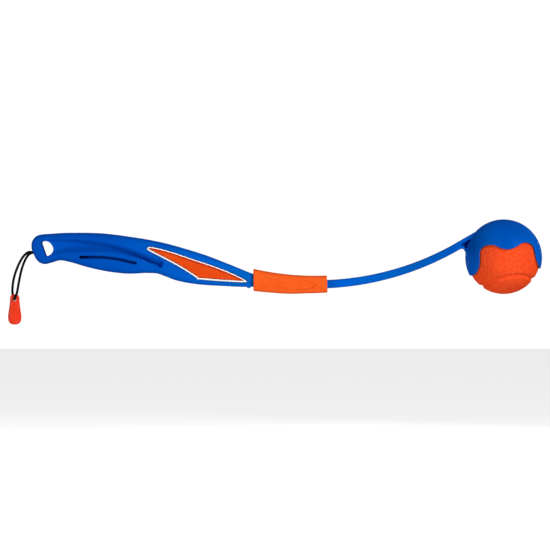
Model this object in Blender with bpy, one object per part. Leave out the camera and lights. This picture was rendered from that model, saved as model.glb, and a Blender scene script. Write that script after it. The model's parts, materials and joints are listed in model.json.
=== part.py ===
"""A folding dog ball thrower: a moulded handle, a springy curved arm with a claw cup, and the ball in it.

The arm hinges on a steel pin in the forked neck of the handle. A rubber sleeve slides over the hinge and
locks it straight. A cord loop with a pull tab hangs from the handle's end.

Metres, +Z up. The origin is the middle of the hand grip, +X runs towards the ball, and the thrower is
symmetric about Y = 0 apart from the badge, which is on the -Y side, and the cord.
"""

import math

import bpy
from mathutils import Euler, Vector

MM = 0.001

# Driving sizes of the handle
HANDLE_LENGTH = 194.0 * MM
HANDLE_HEIGHT = 47.6 * MM
HANDLE_THICKNESS = 24.0 * MM
HANDLE_EDGE_RADIUS = 5.0 * MM
GRIP_ALONG_SHARE = 0.3665
GRIP_UP_SHARE = 0.628

# Hang hole, grip channels, grip slots and stop bump of the handle
HANG_HOLE_LENGTH = 11.0 * MM
HANG_HOLE_HEIGHT = 13.2 * MM
CHANNEL_END_DEPTH = 4.0 * MM
CHANNEL_START_DEPTH = 1.0 * MM
SLOT_WIDTH = 2.1 * MM
SLOT_DEPTH = 7.0 * MM
STOP_BUMP_RADIUS = 1.6 * MM
STOP_BUMP_SETBACK = 2.9 * MM
STOP_BUMP_RISE = 0.5 * MM
NECK_EDGE_RADIUS = 1.6 * MM
NECK_EDGE_SHARES = (0.80, 0.94)

# Hinge between the handle and the arm
PIN_RADIUS = 1.5 * MM
PIN_AHEAD_OF_NECK = 12.9 * MM
PIN_ABOVE_HANDLE_BOTTOM = 4.9 * MM
PIN_BELOW_ARM_LINE = 1.1 * MM
EAR_RADIUS = 5.9 * MM
EYE_RADIUS = 5.0 * MM
FORK_WIDTH = 16.0 * MM
FOLD_ANGLE = math.radians(155)

# Arm
ARM_CURVE_RADIUS = 250.8 * MM
ARM_WIDTH = 11.0 * MM
ARM_ROOT_HEIGHT = 7.8 * MM
ARM_TIP_HEIGHT = 6.5 * MM
ARM_EDGE_RADIUS = 1.6 * MM
ARM_ROOT_ANGLE = math.radians(-9.7)
ARM_TIP_ANGLE = math.radians(30.0)

# Ball and the cup that holds it
BALL_RADIUS = 32.0 * MM
BALL_CLEARANCE = 0.3 * MM
CUP_WALL = 1.3 * MM
CLAW_TIP_WALL = 0.6 * MM
SKIRT_SHARE = 0.52
CUP_TILT = math.radians(4.6)
CUP_AHEAD_SHARE = 0.874
FLANGE_SINK = 1.65 * MM
GUSSET_WEB = 3.0 * MM
GUSSET_BACK_ANGLE = math.radians(0.6)
GUSSET_ROOT_SHARE = 0.55
GUSSET_HEEL_SHARE = 0.16
GROOVE_HALF_WIDTH = 2.8 * MM
GROOVE_DEPTH = 1.4 * MM
SEAM_LOBE_SHARE = 0.25
SEAM_TURN = Euler((math.radians(-88.0), math.radians(-53.0), math.radians(2.0)))

# Lock sleeve
SLEEVE_LENGTH = 65.0 * MM
SLEEVE_WIDTH = 22.0 * MM
SLEEVE_TOP = 7.6 * MM
SLEEVE_MOUTH_DROP = 11.4 * MM
SLEEVE_END_DROP = 7.4 * MM
SLEEVE_EDGE_RADIUS = 3.0 * MM
SLEEVE_LIP_RADIUS = 0.8 * MM
SLEEVE_OVER_NECK = 12.2 * MM
SLEEVE_STEP = 7.5 * MM
SLEEVE_NECK_CLEARANCE = 1.1 * MM
GRIP_OVAL_DEPTH = 0.5 * MM
GRIP_OVAL_LENGTH = 46.0 * MM
GRIP_OVAL_HEIGHT = 10.0 * MM
GRIP_OVAL_PLACE_SHARE = 0.55

# Badge: a backing tray with a rim, and the panel that lies sunk in it
BADGE_EDGE = 1.1 * MM
BADGE_SINK = 0.2 * MM
BADGE_PANEL_SINK = 0.6 * MM
BADGE_PANEL_THICKNESS = 0.6 * MM
BADGE_BACKING_THICKNESS = 0.6 * MM

# Cord loop and pull tab
CORD_RADIUS = 0.875 * MM
CORD_SPREAD = 1.15 * MM
CORD_HOLE_UP_SHARE = 0.646
KNOT_RADIUS = 2.6 * MM
KNOT_LENGTH = 4.8 * MM
KNOT_END_SHARE = 0.45
KNOT_SWELL_SHARE = 0.50
KNOT_WAIST_SHARE = 0.06
TAB_LENGTH = 26.7 * MM
TAB_WIDTH = 11.8 * MM
TAB_THICKNESS = 6.4 * MM
TAB_HOLE_RADIUS = 1.4 * MM
TAB_HOLE_DROP = 4.6 * MM

# Fits, and how far a cutter runs past what it cuts
GAP = 0.3 * MM
FOLD_GAP = 0.4 * MM
OVERRUN = 6.0 * MM

# Limits of round corners, as shares of the half width or height they are on
CORNER_LIMIT_SHARE = 0.98
HANDLE_CORNER_SHARE = 0.55
MITRE_LIMIT_SHARE = 0.45

# Fineness of the curved surfaces
SHARP_ANGLE = math.radians(35)
CORNER_STEPS = 4
SMALL_CORNER_STEPS = 2
ROUND_STEPS = 24
SMALL_ROUND_STEPS = 16
EAR_STEPS = 32
ARM_STATIONS = 22
SLEEVE_STATIONS = 10
BALL_RINGS = 24
CURVE_STEPS = 3
FOLD_STEP = math.radians(1)
LONGEST_STATION_SHARE = 0.03
GROOVE_STEPS = 72
GROOVE_SIDES = 12
KNOT_STATIONS = 8
CORD_SMOOTH_STEPS = 16

# Handle side view, as shares of its length and height, and its half thickness as a share of the full one
HANDLE_SHARES = (
    (0.003, 0.790, 0.725, 0.24),
    (0.005, 0.824, 0.690, 0.40),
    (0.008, 0.852, 0.658, 0.52),
    (0.016, 0.902, 0.590, 0.63),
    (0.026, 0.938, 0.510, 0.69),
    (0.043, 0.964, 0.445, 0.73),
    (0.063, 0.975, 0.423, 0.76),
    (0.093, 0.982, 0.452, 0.80),
    (0.133, 0.994, 0.492, 0.87),
    (0.179, 1.000, 0.459, 0.92),
    (0.247, 1.000, 0.378, 0.97),
    (0.314, 0.991, 0.313, 1.00),
    (0.382, 0.965, 0.267, 1.00),
    (0.450, 0.926, 0.245, 1.00),
    (0.518, 0.884, 0.258, 1.00),
    (0.563, 0.849, 0.254, 1.00),
    (0.609, 0.807, 0.197, 0.98),
    (0.654, 0.759, 0.127, 0.95),
    (0.722, 0.678, 0.068, 0.89),
    (0.790, 0.589, 0.037, 0.83),
    (0.880, 0.449, 0.017, 0.75),
    (0.971, 0.298, 0.002, 0.68),
    (1.000, 0.249, 0.002, 0.667),
)

# Hang hole about its own centre, as shares of its length and height
HANG_HOLE_SHARES = (
    (-0.49, 0.39),
    (-0.40, 0.47),
    (-0.21, 0.50),
    (0.07, 0.45),
    (0.33, 0.29),
    (0.50, 0.00),
    (0.43, -0.26),
    (0.21, -0.44),
    (-0.03, -0.50),
    (-0.14, -0.45),
)
HANG_HOLE_CENTRE_SHARES = (0.0756, 0.710)

# Grip channel outline and the centre line of the narrow slot, as shares of the handle
CHANNEL_SHARES = (
    (0.078, 0.850),
    (0.108, 0.871),
    (0.156, 0.882),
    (0.226, 0.871),
    (0.285, 0.847),
    (0.346, 0.814),
    (0.398, 0.766),
    (0.449, 0.705),
    (0.501, 0.630),
    (0.538, 0.568),
    (0.561, 0.532),
    (0.583, 0.508),
    (0.595, 0.484),
    (0.602, 0.444),
    (0.601, 0.405),
    (0.595, 0.372),
    (0.587, 0.356),
    (0.578, 0.366),
    (0.539, 0.440),
    (0.501, 0.512),
    (0.449, 0.571),
    (0.398, 0.619),
    (0.346, 0.645),
    (0.294, 0.652),
    (0.226, 0.645),
    (0.144, 0.626),
    (0.108, 0.600),
    (0.078, 0.580),
)
SLOT_SHARES = (
    (0.228, 0.549),
    (0.294, 0.549),
    (0.346, 0.540),
    (0.398, 0.512),
    (0.449, 0.464),
    (0.476, 0.442),
)

# Badge outline, as shares of the handle
BADGE_SHARES = (
    (0.529, 0.703),
    (0.545, 0.737),
    (0.629, 0.656),
    (0.720, 0.532),
    (0.829, 0.383),
    (0.913, 0.247),
    (0.973, 0.118),
    (0.956, 0.090),
    (0.862, 0.110),
    (0.764, 0.143),
    (0.755, 0.158),
    (0.696, 0.315),
    (0.629, 0.471),
    (0.539, 0.660),
)

# Lower edge of the cup in the side view, about its centre, as shares of its outer radius
CUP_EDGE_SHARES = (
    (-0.885, -0.465),
    (-0.814, -0.455),
    (-0.748, -0.383),
    (-0.703, -0.283),
    (-0.683, -0.152),
    (-0.683, 0.031),
    (-0.675, 0.146),
    (-0.633, 0.235),
    (-0.551, 0.300),
    (-0.470, 0.318),
    (-0.383, 0.322),
    (-0.287, 0.298),
    (-0.157, 0.240),
    (-0.018, 0.208),
    (0.127, 0.222),
    (0.268, 0.283),
    (0.404, 0.368),
    (0.498, 0.388),
    (0.592, 0.374),
    (0.670, 0.326),
    (0.725, 0.238),
    (0.759, 0.100),
    (0.787, -0.030),
    (0.837, -0.155),
    (0.891, -0.248),
    (0.956, -0.283),
)

# Pocket beside the gusset's web, from the arm's end, as shares of the arm's width and of its half height
GUSSET_POCKET_SHARES = (
    (0.10, -0.15),
    (1.00, 0.20),
    (0.42, -1.45),
)

# Sleeve's underside: share of its length, and share of the way from the mouth's drop to the end's
SLEEVE_DROP_SHARES = (
    (0.00, 0.00),
    (0.28, 0.34),
    (0.50, 0.54),
    (0.76, 0.88),
    (1.00, 1.00),
)

# Round of the sleeve's lips, as shares of their radius
LIP_SHARES = (0.0, 0.3, 1.0)

# Pull tab: share of its length from the top, then of its half width and of its half thickness
TAB_SHARES = (
    (0.00, 0.28, 0.28),
    (0.02, 0.46, 0.36),
    (0.06, 0.62, 0.44),
    (0.12, 0.70, 0.47),
    (0.24, 0.73, 0.48),
    (0.36, 0.78, 0.62),
    (0.55, 0.90, 0.88),
    (0.73, 1.00, 1.00),
    (0.84, 0.97, 0.98),
    (0.92, 0.84, 0.86),
    (0.97, 0.62, 0.62),
    (1.00, 0.28, 0.28),
)

# Route of the cord outside the handle, in metres: down the far strand and up the near one
CORD_FAR_STRAND = (
    (-0.0722, 0.00115, 0.00090),
    (-0.0738, 0.00118, 0.00055),
    (-0.0758, 0.00125, -0.00080),
    (-0.0776, 0.00135, -0.00270),
    (-0.0793, 0.00145, -0.00500),
    (-0.0810, 0.00160, -0.00800),
    (-0.0827, 0.00175, -0.01160),
    (-0.0843, 0.00195, -0.01560),
    (-0.0858, 0.00220, -0.02020),
    (-0.0870, 0.00255, -0.02560),
    (-0.0875, 0.00295, -0.03060),
    (-0.0871, 0.00335, -0.03480),
    (-0.0862, 0.00350, -0.03740),
    (-0.0856, 0.00310, -0.03930),
    (-0.0854, 0.00180, -0.04055),
)
CORD_NEAR_STRAND = (
    (-0.0852, -0.00180, -0.04055),
    (-0.0847, -0.00310, -0.03930),
    (-0.0839, -0.00350, -0.03740),
    (-0.0829, -0.00340, -0.03440),
    (-0.0821, -0.00305, -0.02990),
    (-0.0814, -0.00270, -0.02560),
    (-0.0805, -0.00240, -0.02080),
    (-0.0793, -0.00205, -0.01540),
    (-0.0780, -0.00175, -0.01100),
    (-0.0766, -0.00150, -0.00740),
    (-0.0751, -0.00130, -0.00440),
    (-0.0737, -0.00120, -0.00180),
    (-0.0726, -0.00116, -0.00020),
    (-0.0717, -0.00115, 0.00060),
)
CORD_POINTS = 76

# Colours, roughness and metallic value of each material
BLUE_PLASTIC = ((0.003, 0.095, 0.480), 0.42, 0.0)
ORANGE_RUBBER = ((0.900, 0.115, 0.014), 0.60, 0.0)
BALL_RUBBER = ((0.910, 0.080, 0.018), 0.72, 0.0)
BADGE_ORANGE = ((0.860, 0.075, 0.010), 0.38, 0.0)
BADGE_WHITE = ((0.850, 0.850, 0.850), 0.35, 0.0)
PIN_STEEL = ((0.560, 0.570, 0.580), 0.28, 1.0)
BLACK_CORD = ((0.008, 0.008, 0.009), 0.85, 0.0)
RED_TAB = ((0.890, 0.060, 0.022), 0.50, 0.0)


def clear_scene():
    for old in list(bpy.data.objects):
        bpy.data.objects.remove(old, do_unlink=True)


def material(name, finish):
    colour, roughness, metallic = finish
    made = bpy.data.materials.new(name)
    made.use_nodes = True
    shader = made.node_tree.nodes["Principled BSDF"]
    shader.inputs["Base Color"].default_value = (*colour, 1.0)
    shader.inputs["Roughness"].default_value = roughness
    shader.inputs["Metallic"].default_value = metallic
    return made


def mesh_object(name, points, faces, finish=None, at=None):
    """One object from points in the world; its own origin is put at the given place."""
    origin = Vector(at or (0.0, 0.0, 0.0))
    mesh = bpy.data.meshes.new(name)
    mesh.from_pydata([tuple(Vector(p) - origin) for p in points], [], faces)
    mesh.update()
    made = bpy.data.objects.new(name, mesh)
    made.location = origin
    bpy.context.scene.collection.objects.link(made)
    if finish:
        mesh.materials.append(material(name, finish))
        mesh.shade_smooth()
        mesh.set_sharp_from_angle(angle=SHARP_ANGLE)
    return made


def helper(made):
    """A shape that only cuts or adds to another one."""
    made.hide_render = True
    made.display_type = "WIRE"
    return made


def combine(body, other, operation):
    step = body.modifiers.new(f"{operation.lower()} {other.name}", "BOOLEAN")
    step.operation = operation
    step.solver = "EXACT"
    step.object = helper(other)


def cut(body, cutter):
    combine(body, cutter, "DIFFERENCE")


def add(body, other):
    combine(body, other, "UNION")


def loft(name, rings, finish=None, at=None):
    """A closed solid through rings of as many points each, with flat ends."""
    count = len(rings[0])
    points = [p for ring in rings for p in ring]
    faces = []
    for i in range(len(rings) - 1):
        for j in range(count):
            k = (j + 1) % count
            faces.append((i * count + j, i * count + k, (i + 1) * count + k, (i + 1) * count + j))
    faces.append(tuple(reversed(range(count))))
    faces.append(tuple(range(len(points) - count, len(points))))
    return mesh_object(name, points, faces, finish, at)


def prism(name, outline, low, high, finish=None, at=None):
    """An outline of (x, z) points, clockwise from the -Y side, drawn from y = low to y = high.

    Each of low and high is a number, or a function of x that gives the end face's place.
    """
    ends = [y if callable(y) else (lambda x, y=y: y) for y in (low, high)]
    return loft(name, [[(x, end(x), z) for x, z in clockwise(outline)] for end in ends], finish, at)


def clockwise(outline):
    turned = sum(
        (b[0] - a[0]) * (b[1] + a[1]) for a, b in zip(outline, list(outline[1:]) + [outline[0]])
    )
    return list(outline) if turned > 0 else list(reversed(outline))


def rod(name, centre, direction, radius, length, steps=ROUND_STEPS, finish=None):
    """A cylinder about its centre, along the given direction."""
    direction = Vector(direction).normalized()
    turn = Vector((0, 0, 1)).rotation_difference(direction)
    rings = []
    for end in (-length / 2, length / 2):
        ring = [
            (radius * math.cos(math.tau * i / steps), radius * math.sin(math.tau * i / steps), end)
            for i in range(steps)
        ]
        rings.append([Vector(centre) + turn @ Vector(p) for p in ring])
    return loft(name, rings, finish, centre)


def smooth_value(rows, x, column):
    """The value of a column of rows at x, on a smooth curve that never overshoots its rows."""
    xs = [row[0] for row in rows]
    ys = [row[column] for row in rows]
    slopes = [(ys[i + 1] - ys[i]) / (xs[i + 1] - xs[i]) for i in range(len(xs) - 1)]
    tangents = [slopes[0]]
    for before, after in zip(slopes, slopes[1:]):
        level = before * after <= 0
        tangents.append(0.0 if level else 2 * before * after / (before + after))
    tangents.append(slopes[-1])
    i = max(0, min(len(xs) - 2, sum(x >= v for v in xs) - 1))
    span = xs[i + 1] - xs[i]
    t = (x - xs[i]) / span
    return (
        (1 + 2 * t) * (1 - t) ** 2 * ys[i]
        + t * (1 - t) ** 2 * span * tangents[i]
        + t * t * (3 - 2 * t) * ys[i + 1]
        + t * t * (t - 1) * span * tangents[i + 1]
    )


def through(points, steps, closed):
    """A smooth curve through the points, with the given number of steps between neighbours."""
    points = [Vector(p) for p in points]
    count = len(points)
    made = []
    for i in range(count if closed else count - 1):
        if closed:
            a, b, c, d = (points[(i + k) % count] for k in (-1, 0, 1, 2))
        else:
            b, c = points[i], points[i + 1]
            a = points[i - 1] if i else b + b - c
            d = points[i + 2] if i + 2 < count else c + c - b
        for k in range(steps):
            t = k / steps
            made.append(
                0.5 * (2 * b + (c - a) * t + (2 * a - 5 * b + 4 * c - d) * t**2
                       + (3 * b - a - 3 * c + d) * t**3)
            )
    if not closed:
        made.append(points[-1])
    return made


def inset(outline, distance):
    """A clockwise outline moved inwards by a distance, corner by corner."""
    made = []
    count = len(outline)
    for i in range(count):
        before, here, after = (Vector(outline[(i + k) % count]) for k in (-1, 0, 1))
        first = (here - before).normalized()
        second = (after - here).normalized()
        inward = Vector((first.y + second.y, -first.x - second.x)).normalized()
        across = Vector((first.y, -first.x))
        made.append(here + inward * distance / max(inward.dot(across), MITRE_LIMIT_SHARE))
    return made


def rounded_section(top, bottom, half_width, radius, steps=CORNER_STEPS):
    """(across, up) points round a rectangle with round corners."""
    radius = min(radius, CORNER_LIMIT_SHARE * half_width, CORNER_LIMIT_SHARE * (top - bottom) / 2)
    corners = (
        (half_width - radius, top - radius, 0),
        (-half_width + radius, top - radius, 90),
        (-half_width + radius, bottom + radius, 180),
        (half_width - radius, bottom + radius, 270),
    )
    ring = []
    for across, up, start in corners:
        for i in range(steps + 1):
            angle = math.radians(start + 90 * i / steps)
            ring.append((across + radius * math.cos(angle), up + radius * math.sin(angle)))
    return ring


# Places that follow from the sizes
HANDLE_START_X = -GRIP_ALONG_SHARE * HANDLE_LENGTH
HANDLE_BOTTOM_Z = -GRIP_UP_SHARE * HANDLE_HEIGHT
NECK_X = HANDLE_START_X + HANDLE_LENGTH
PIN = Vector((NECK_X + PIN_AHEAD_OF_NECK, 0.0, HANDLE_BOTTOM_Z + PIN_ABOVE_HANDLE_BOTTOM))
FORK_SLOT_WIDTH = ARM_WIDTH + 2 * GAP
CURVE_CENTRE = PIN + (ARM_CURVE_RADIUS + PIN_BELOW_ARM_LINE) * Vector(
    (-math.sin(ARM_ROOT_ANGLE), 0.0, math.cos(ARM_ROOT_ANGLE))
)
CUP_INNER_RADIUS = BALL_RADIUS + BALL_CLEARANCE
CUP_OUTER_RADIUS = CUP_INNER_RADIUS + CUP_WALL


def handle_point(share):
    along, up = share
    return Vector((HANDLE_START_X + along * HANDLE_LENGTH, HANDLE_BOTTOM_Z + up * HANDLE_HEIGHT))


def handle_half_thickness(x):
    share = (x - HANDLE_START_X) / HANDLE_LENGTH
    return smooth_value(HANDLE_SHARES, min(max(share, 0.0), 1.0), 3) * HANDLE_THICKNESS / 2


def handle_edge_radius(share):
    """The round of the grip's edges, which narrows towards the squarer neck."""
    first, last = NECK_EDGE_SHARES
    t = min(max((share - first) / (last - first), 0.0), 1.0)
    return HANDLE_EDGE_RADIUS + (NECK_EDGE_RADIUS - HANDLE_EDGE_RADIUS) * t * t * (3 - 2 * t)


def on_curve(angle, up, across=0.0):
    """A point beside the arm's centre line: the angle is measured from straight below the curve's centre."""
    reach = ARM_CURVE_RADIUS - up
    return CURVE_CENTRE + Vector((reach * math.sin(angle), across, -reach * math.cos(angle)))


def arm_half_height(angle):
    share = (angle - ARM_ROOT_ANGLE) / (ARM_TIP_ANGLE - ARM_ROOT_ANGLE)
    return (ARM_ROOT_HEIGHT + (ARM_TIP_HEIGHT - ARM_ROOT_HEIGHT) * share) / 2


def cup_centre():
    tip = on_curve(ARM_TIP_ANGLE, 0.0)
    ahead = Vector((math.cos(ARM_TIP_ANGLE), 0.0, math.sin(ARM_TIP_ANGLE)))
    down = Vector((math.sin(ARM_TIP_ANGLE), 0.0, -math.cos(ARM_TIP_ANGLE)))
    below = CUP_OUTER_RADIUS - FLANGE_SINK - ARM_TIP_HEIGHT / 2
    return tip + ahead * CUP_AHEAD_SHARE * CUP_OUTER_RADIUS + down * below


CUP_CENTRE = cup_centre()
EXIT_AXIS = Vector((math.sin(CUP_TILT), 0.0, -math.cos(CUP_TILT)))


def turned_about_pin(point, angle):
    """A point after the arm has folded down by an angle."""
    away = point - PIN
    return PIN + Vector(
        (
            away.x * math.cos(angle) + away.z * math.sin(angle),
            away.y,
            -away.x * math.sin(angle) + away.z * math.cos(angle),
        )
    )


def handle_blank():
    """The handle's outside, lofted along its length."""
    shares = [row[0] for row in HANDLE_SHARES]
    stations = []
    for here, after in zip(shares, shares[1:]):
        stations += [here, (here + after) / 2] if after - here > LONGEST_STATION_SHARE else [here]
    stations.append(shares[-1])
    rings = []
    for share in stations:
        x = HANDLE_START_X + share * HANDLE_LENGTH
        top = HANDLE_BOTTOM_Z + smooth_value(HANDLE_SHARES, share, 1) * HANDLE_HEIGHT
        bottom = HANDLE_BOTTOM_Z + smooth_value(HANDLE_SHARES, share, 2) * HANDLE_HEIGHT
        half = smooth_value(HANDLE_SHARES, share, 3) * HANDLE_THICKNESS / 2
        radius = min(handle_edge_radius(share), HANDLE_CORNER_SHARE * half)
        rings.append([(x, y, z) for y, z in rounded_section(top, bottom, half, radius)])
    return loft("handle", rings, BLUE_PLASTIC)


def fork():
    """The neck's two ears, still joined: a block with a round end about the pin."""
    start = NECK_X - OVERRUN
    neck_top = HANDLE_BOTTOM_Z + HANDLE_SHARES[-1][1] * HANDLE_HEIGHT
    outline = [(start, HANDLE_BOTTOM_Z + GAP), (start, neck_top), (NECK_X, neck_top)]
    for i in range(EAR_STEPS // 2 + 1):
        angle = math.pi / 2 - math.pi * i / (EAR_STEPS // 2)
        outline.append((PIN.x + EAR_RADIUS * math.cos(angle), PIN.z + EAR_RADIUS * math.sin(angle)))
    outline.append((NECK_X, HANDLE_BOTTOM_Z + GAP))
    return prism("fork", outline, -FORK_WIDTH / 2, FORK_WIDTH / 2)


def fold_slot():
    """The space between the ears, up to the edge of the arm's root when it is folded right back."""
    wall_x = PIN.x - EYE_RADIUS - GAP
    top = PIN.z + EAR_RADIUS + OVERRUN
    floor = HANDLE_BOTTOM_Z - 2 * OVERRUN
    roof = []
    angle = ARM_ROOT_ANGLE
    while True:
        edge = on_curve(angle, -arm_half_height(angle) - FOLD_GAP)
        folded = turned_about_pin(edge, FOLD_ANGLE)
        if folded.x < wall_x:
            roof.append((folded.x, folded.z))
        if folded.z < HANDLE_BOTTOM_Z - OVERRUN:
            break
        angle += FOLD_STEP
    slope = math.tan(math.pi - FOLD_ANGLE + ARM_ROOT_ANGLE)
    first_z = roof[0][1] + (wall_x - roof[0][0]) * slope
    outline = [(wall_x, top), (wall_x, first_z), *roof, (roof[-1][0], floor)]
    outline += [(PIN.x + 2 * EAR_RADIUS, floor), (PIN.x + 2 * EAR_RADIUS, top)]
    return prism("fold_slot", outline, -FORK_SLOT_WIDTH / 2, FORK_SLOT_WIDTH / 2)


def hang_hole():
    centre = handle_point(HANG_HOLE_CENTRE_SHARES)
    points = [
        centre + Vector((x * HANG_HOLE_LENGTH, z * HANG_HOLE_HEIGHT)) for x, z in HANG_HOLE_SHARES
    ]
    curved = through(points, CURVE_STEPS, closed=False)
    return prism("hang_hole", curved, -HANDLE_THICKNESS, HANDLE_THICKNESS)


def channel(side):
    """The finger channel on one side: shallow at the hang hole and deeper towards the badge."""
    outline = through([handle_point(s) for s in CHANNEL_SHARES], 1, closed=True)
    first_x = outline[0].x
    last_x = max(p.x for p in outline)
    first_y = handle_half_thickness(first_x) - CHANNEL_START_DEPTH
    last_y = handle_half_thickness(last_x) - CHANNEL_END_DEPTH

    def floor(x):
        return side * (first_y + (last_y - first_y) * (x - first_x) / (last_x - first_x))

    ends = (side * HANDLE_THICKNESS, floor) if side < 0 else (floor, side * HANDLE_THICKNESS)
    return prism("channel_near" if side < 0 else "channel_far", outline, *ends)


def grip_slot(side):
    """The narrow slot under the channel, with round ends."""
    line = through([handle_point(s) for s in SLOT_SHARES], 2, closed=False)
    half = SLOT_WIDTH / 2
    upper, lower = [], []
    for i, here in enumerate(line):
        ahead = (line[min(i + 1, len(line) - 1)] - line[max(i - 1, 0)]).normalized()
        upper.append(here + half * Vector((-ahead.y, ahead.x)))
        lower.append(here + half * Vector((ahead.y, -ahead.x)))
    caps = []
    for end, ahead in ((line[-1], line[-1] - line[-2]), (line[0], line[0] - line[1])):
        start = math.atan2(ahead.y, ahead.x)
        caps.append(
            [
                end + half * Vector((math.cos(start + turn), math.sin(start + turn)))
                for turn in (math.radians(45), 0.0, math.radians(-45))
            ]
        )
    outline = upper + caps[0] + lower[::-1] + caps[1]
    deep = HANDLE_THICKNESS / 2 - SLOT_DEPTH
    ends = (-HANDLE_THICKNESS, -deep) if side < 0 else (deep, HANDLE_THICKNESS)
    return prism("grip_slot_near" if side < 0 else "grip_slot_far", outline, *ends)


def badge_surface(depth):
    """A flat sloping face under the badge: its y at x, at a depth below the handle's near side."""
    first, last = (handle_point(BADGE_SHARES[i]).x for i in (0, 6))
    first_y, last_y = (handle_half_thickness(x) for x in (first, last))
    return lambda x: -(first_y + (last_y - first_y) * (x - first) / (last - first)) + depth


def badge_outline(margin):
    return inset(clockwise([handle_point(s) for s in BADGE_SHARES]), margin)


PANEL_FACE_DEPTH = BADGE_SINK + BADGE_PANEL_SINK
TRAY_FLOOR_DEPTH = PANEL_FACE_DEPTH + BADGE_PANEL_THICKNESS + GAP
RECESS_DEPTH = TRAY_FLOOR_DEPTH + BADGE_BACKING_THICKNESS + GAP


def badge_recess():
    return prism(
        "badge_recess", badge_outline(-GAP), -HANDLE_THICKNESS, badge_surface(RECESS_DEPTH)
    )


def cord_hole():
    """An oval hole for the two strands, from the handle's end to the knot's seat."""
    end = handle_point((0.0, CORD_HOLE_UP_SHARE))
    half = CORD_RADIUS + GAP
    rings = []
    for x in (end.x - OVERRUN, end.x + OVERRUN + GAP):
        rings.append(
            [(x, y, end.y + z) for y, z in rounded_section(half, -half, half + CORD_SPREAD, half)]
        )
    return loft("cord_hole", rings)


def knot_seat_x():
    return HANDLE_START_X + OVERRUN


def knot_seat():
    z = handle_point((0.0, CORD_HOLE_UP_SHARE)).y
    centre = (knot_seat_x() + (KNOT_LENGTH + OVERRUN) / 2, 0.0, z)
    return rod("knot_seat", centre, (1, 0, 0), KNOT_RADIUS + GAP, KNOT_LENGTH + OVERRUN)


def stop_bump():
    centre = (NECK_X - STOP_BUMP_SETBACK, 0.0, HANDLE_BOTTOM_Z + STOP_BUMP_RISE)
    width = FORK_WIDTH - 2 * GAP
    return rod("stop_bump", centre, (0, 1, 0), STOP_BUMP_RADIUS, width)


def make_handle():
    handle = handle_blank()
    add(handle, fork())
    add(handle, stop_bump())
    cut(handle, fold_slot())
    cut(handle, rod("pin_bore", PIN, (0, 1, 0), PIN_RADIUS + GAP, 2 * FORK_WIDTH))
    for side in (-1, 1):
        cut(handle, channel(side))
        cut(handle, grip_slot(side))
    cut(handle, hang_hole())
    cut(handle, badge_recess())
    cut(handle, knot_seat())
    cut(handle, cord_hole())


def make_badge():
    """The white tray, whose rim stands proud of the orange panel that lies in it."""
    backing = prism(
        "badge_backing",
        badge_outline(0.0),
        badge_surface(BADGE_SINK),
        badge_surface(TRAY_FLOOR_DEPTH + BADGE_BACKING_THICKNESS),
        BADGE_WHITE,
    )
    floor = badge_surface(TRAY_FLOOR_DEPTH)
    cut(backing, prism("tray_inside", badge_outline(BADGE_EDGE), -HANDLE_THICKNESS, floor))
    prism(
        "badge_panel",
        badge_outline(BADGE_EDGE + GAP),
        badge_surface(PANEL_FACE_DEPTH),
        badge_surface(PANEL_FACE_DEPTH + BADGE_PANEL_THICKNESS),
        BADGE_ORANGE,
    )


def make_pin():
    rod("hinge_pin", PIN, (0, 1, 0), PIN_RADIUS, FORK_WIDTH - 2 * GAP, finish=PIN_STEEL)


def arm_beam():
    """The curved arm, from the pin to the cup, with its origin at the pin."""
    rings = []
    for i in range(ARM_STATIONS + 1):
        angle = ARM_ROOT_ANGLE + (ARM_TIP_ANGLE - ARM_ROOT_ANGLE) * i / ARM_STATIONS
        half = arm_half_height(angle)
        section = rounded_section(half, -half, ARM_WIDTH / 2, ARM_EDGE_RADIUS, SMALL_CORNER_STEPS)
        rings.append([on_curve(angle, up, across) for across, up in section])
    return loft("throwing_arm", rings, BLUE_PLASTIC, at=PIN)


def arm_heel():
    """The square corner behind the eye that stops the arm against the end of the fork's slot."""
    rise = math.sqrt((EAR_RADIUS - GAP / 2) ** 2 - EYE_RADIUS**2)
    outline = [
        (PIN.x - EYE_RADIUS, PIN.z),
        (PIN.x - EYE_RADIUS, PIN.z + rise),
        (PIN.x, PIN.z + rise),
        (PIN.x, PIN.z),
    ]
    return prism("arm_heel", outline, -ARM_WIDTH / 2, ARM_WIDTH / 2)


def capsule(name, radius, tip_radius, depth):
    """A ball with its lower half drawn out along the exit axis, narrowing to the tip radius."""
    turn = Vector((0, 0, -1)).rotation_difference(EXIT_AXIS)
    rows = []
    quarter = BALL_RINGS // 2
    for i in range(1, quarter + 1):
        angle = math.pi / 2 * i / quarter
        rows.append((radius * math.sin(angle), radius * math.cos(angle)))
    rows.append((tip_radius, -depth))
    count = 2 * BALL_RINGS
    rings = []
    for reach, up in rows:
        ring = [
            Vector((reach * math.cos(math.tau * j / count), reach * math.sin(math.tau * j / count), up))
            for j in range(count)
        ]
        rings.append([CUP_CENTRE + turn @ p for p in ring])
    points = [p for ring in rings for p in ring]
    pole = len(points)
    points.append(CUP_CENTRE + turn @ Vector((0, 0, radius)))
    faces = [(pole, j, (j + 1) % count) for j in range(count)]
    for i in range(len(rings) - 1):
        for j in range(count):
            k = (j + 1) % count
            faces.append((i * count + j, (i + 1) * count + j, (i + 1) * count + k, i * count + k))
    faces.append(tuple(reversed(range(pole - count, pole))))
    return mesh_object(name, points, faces)


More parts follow.
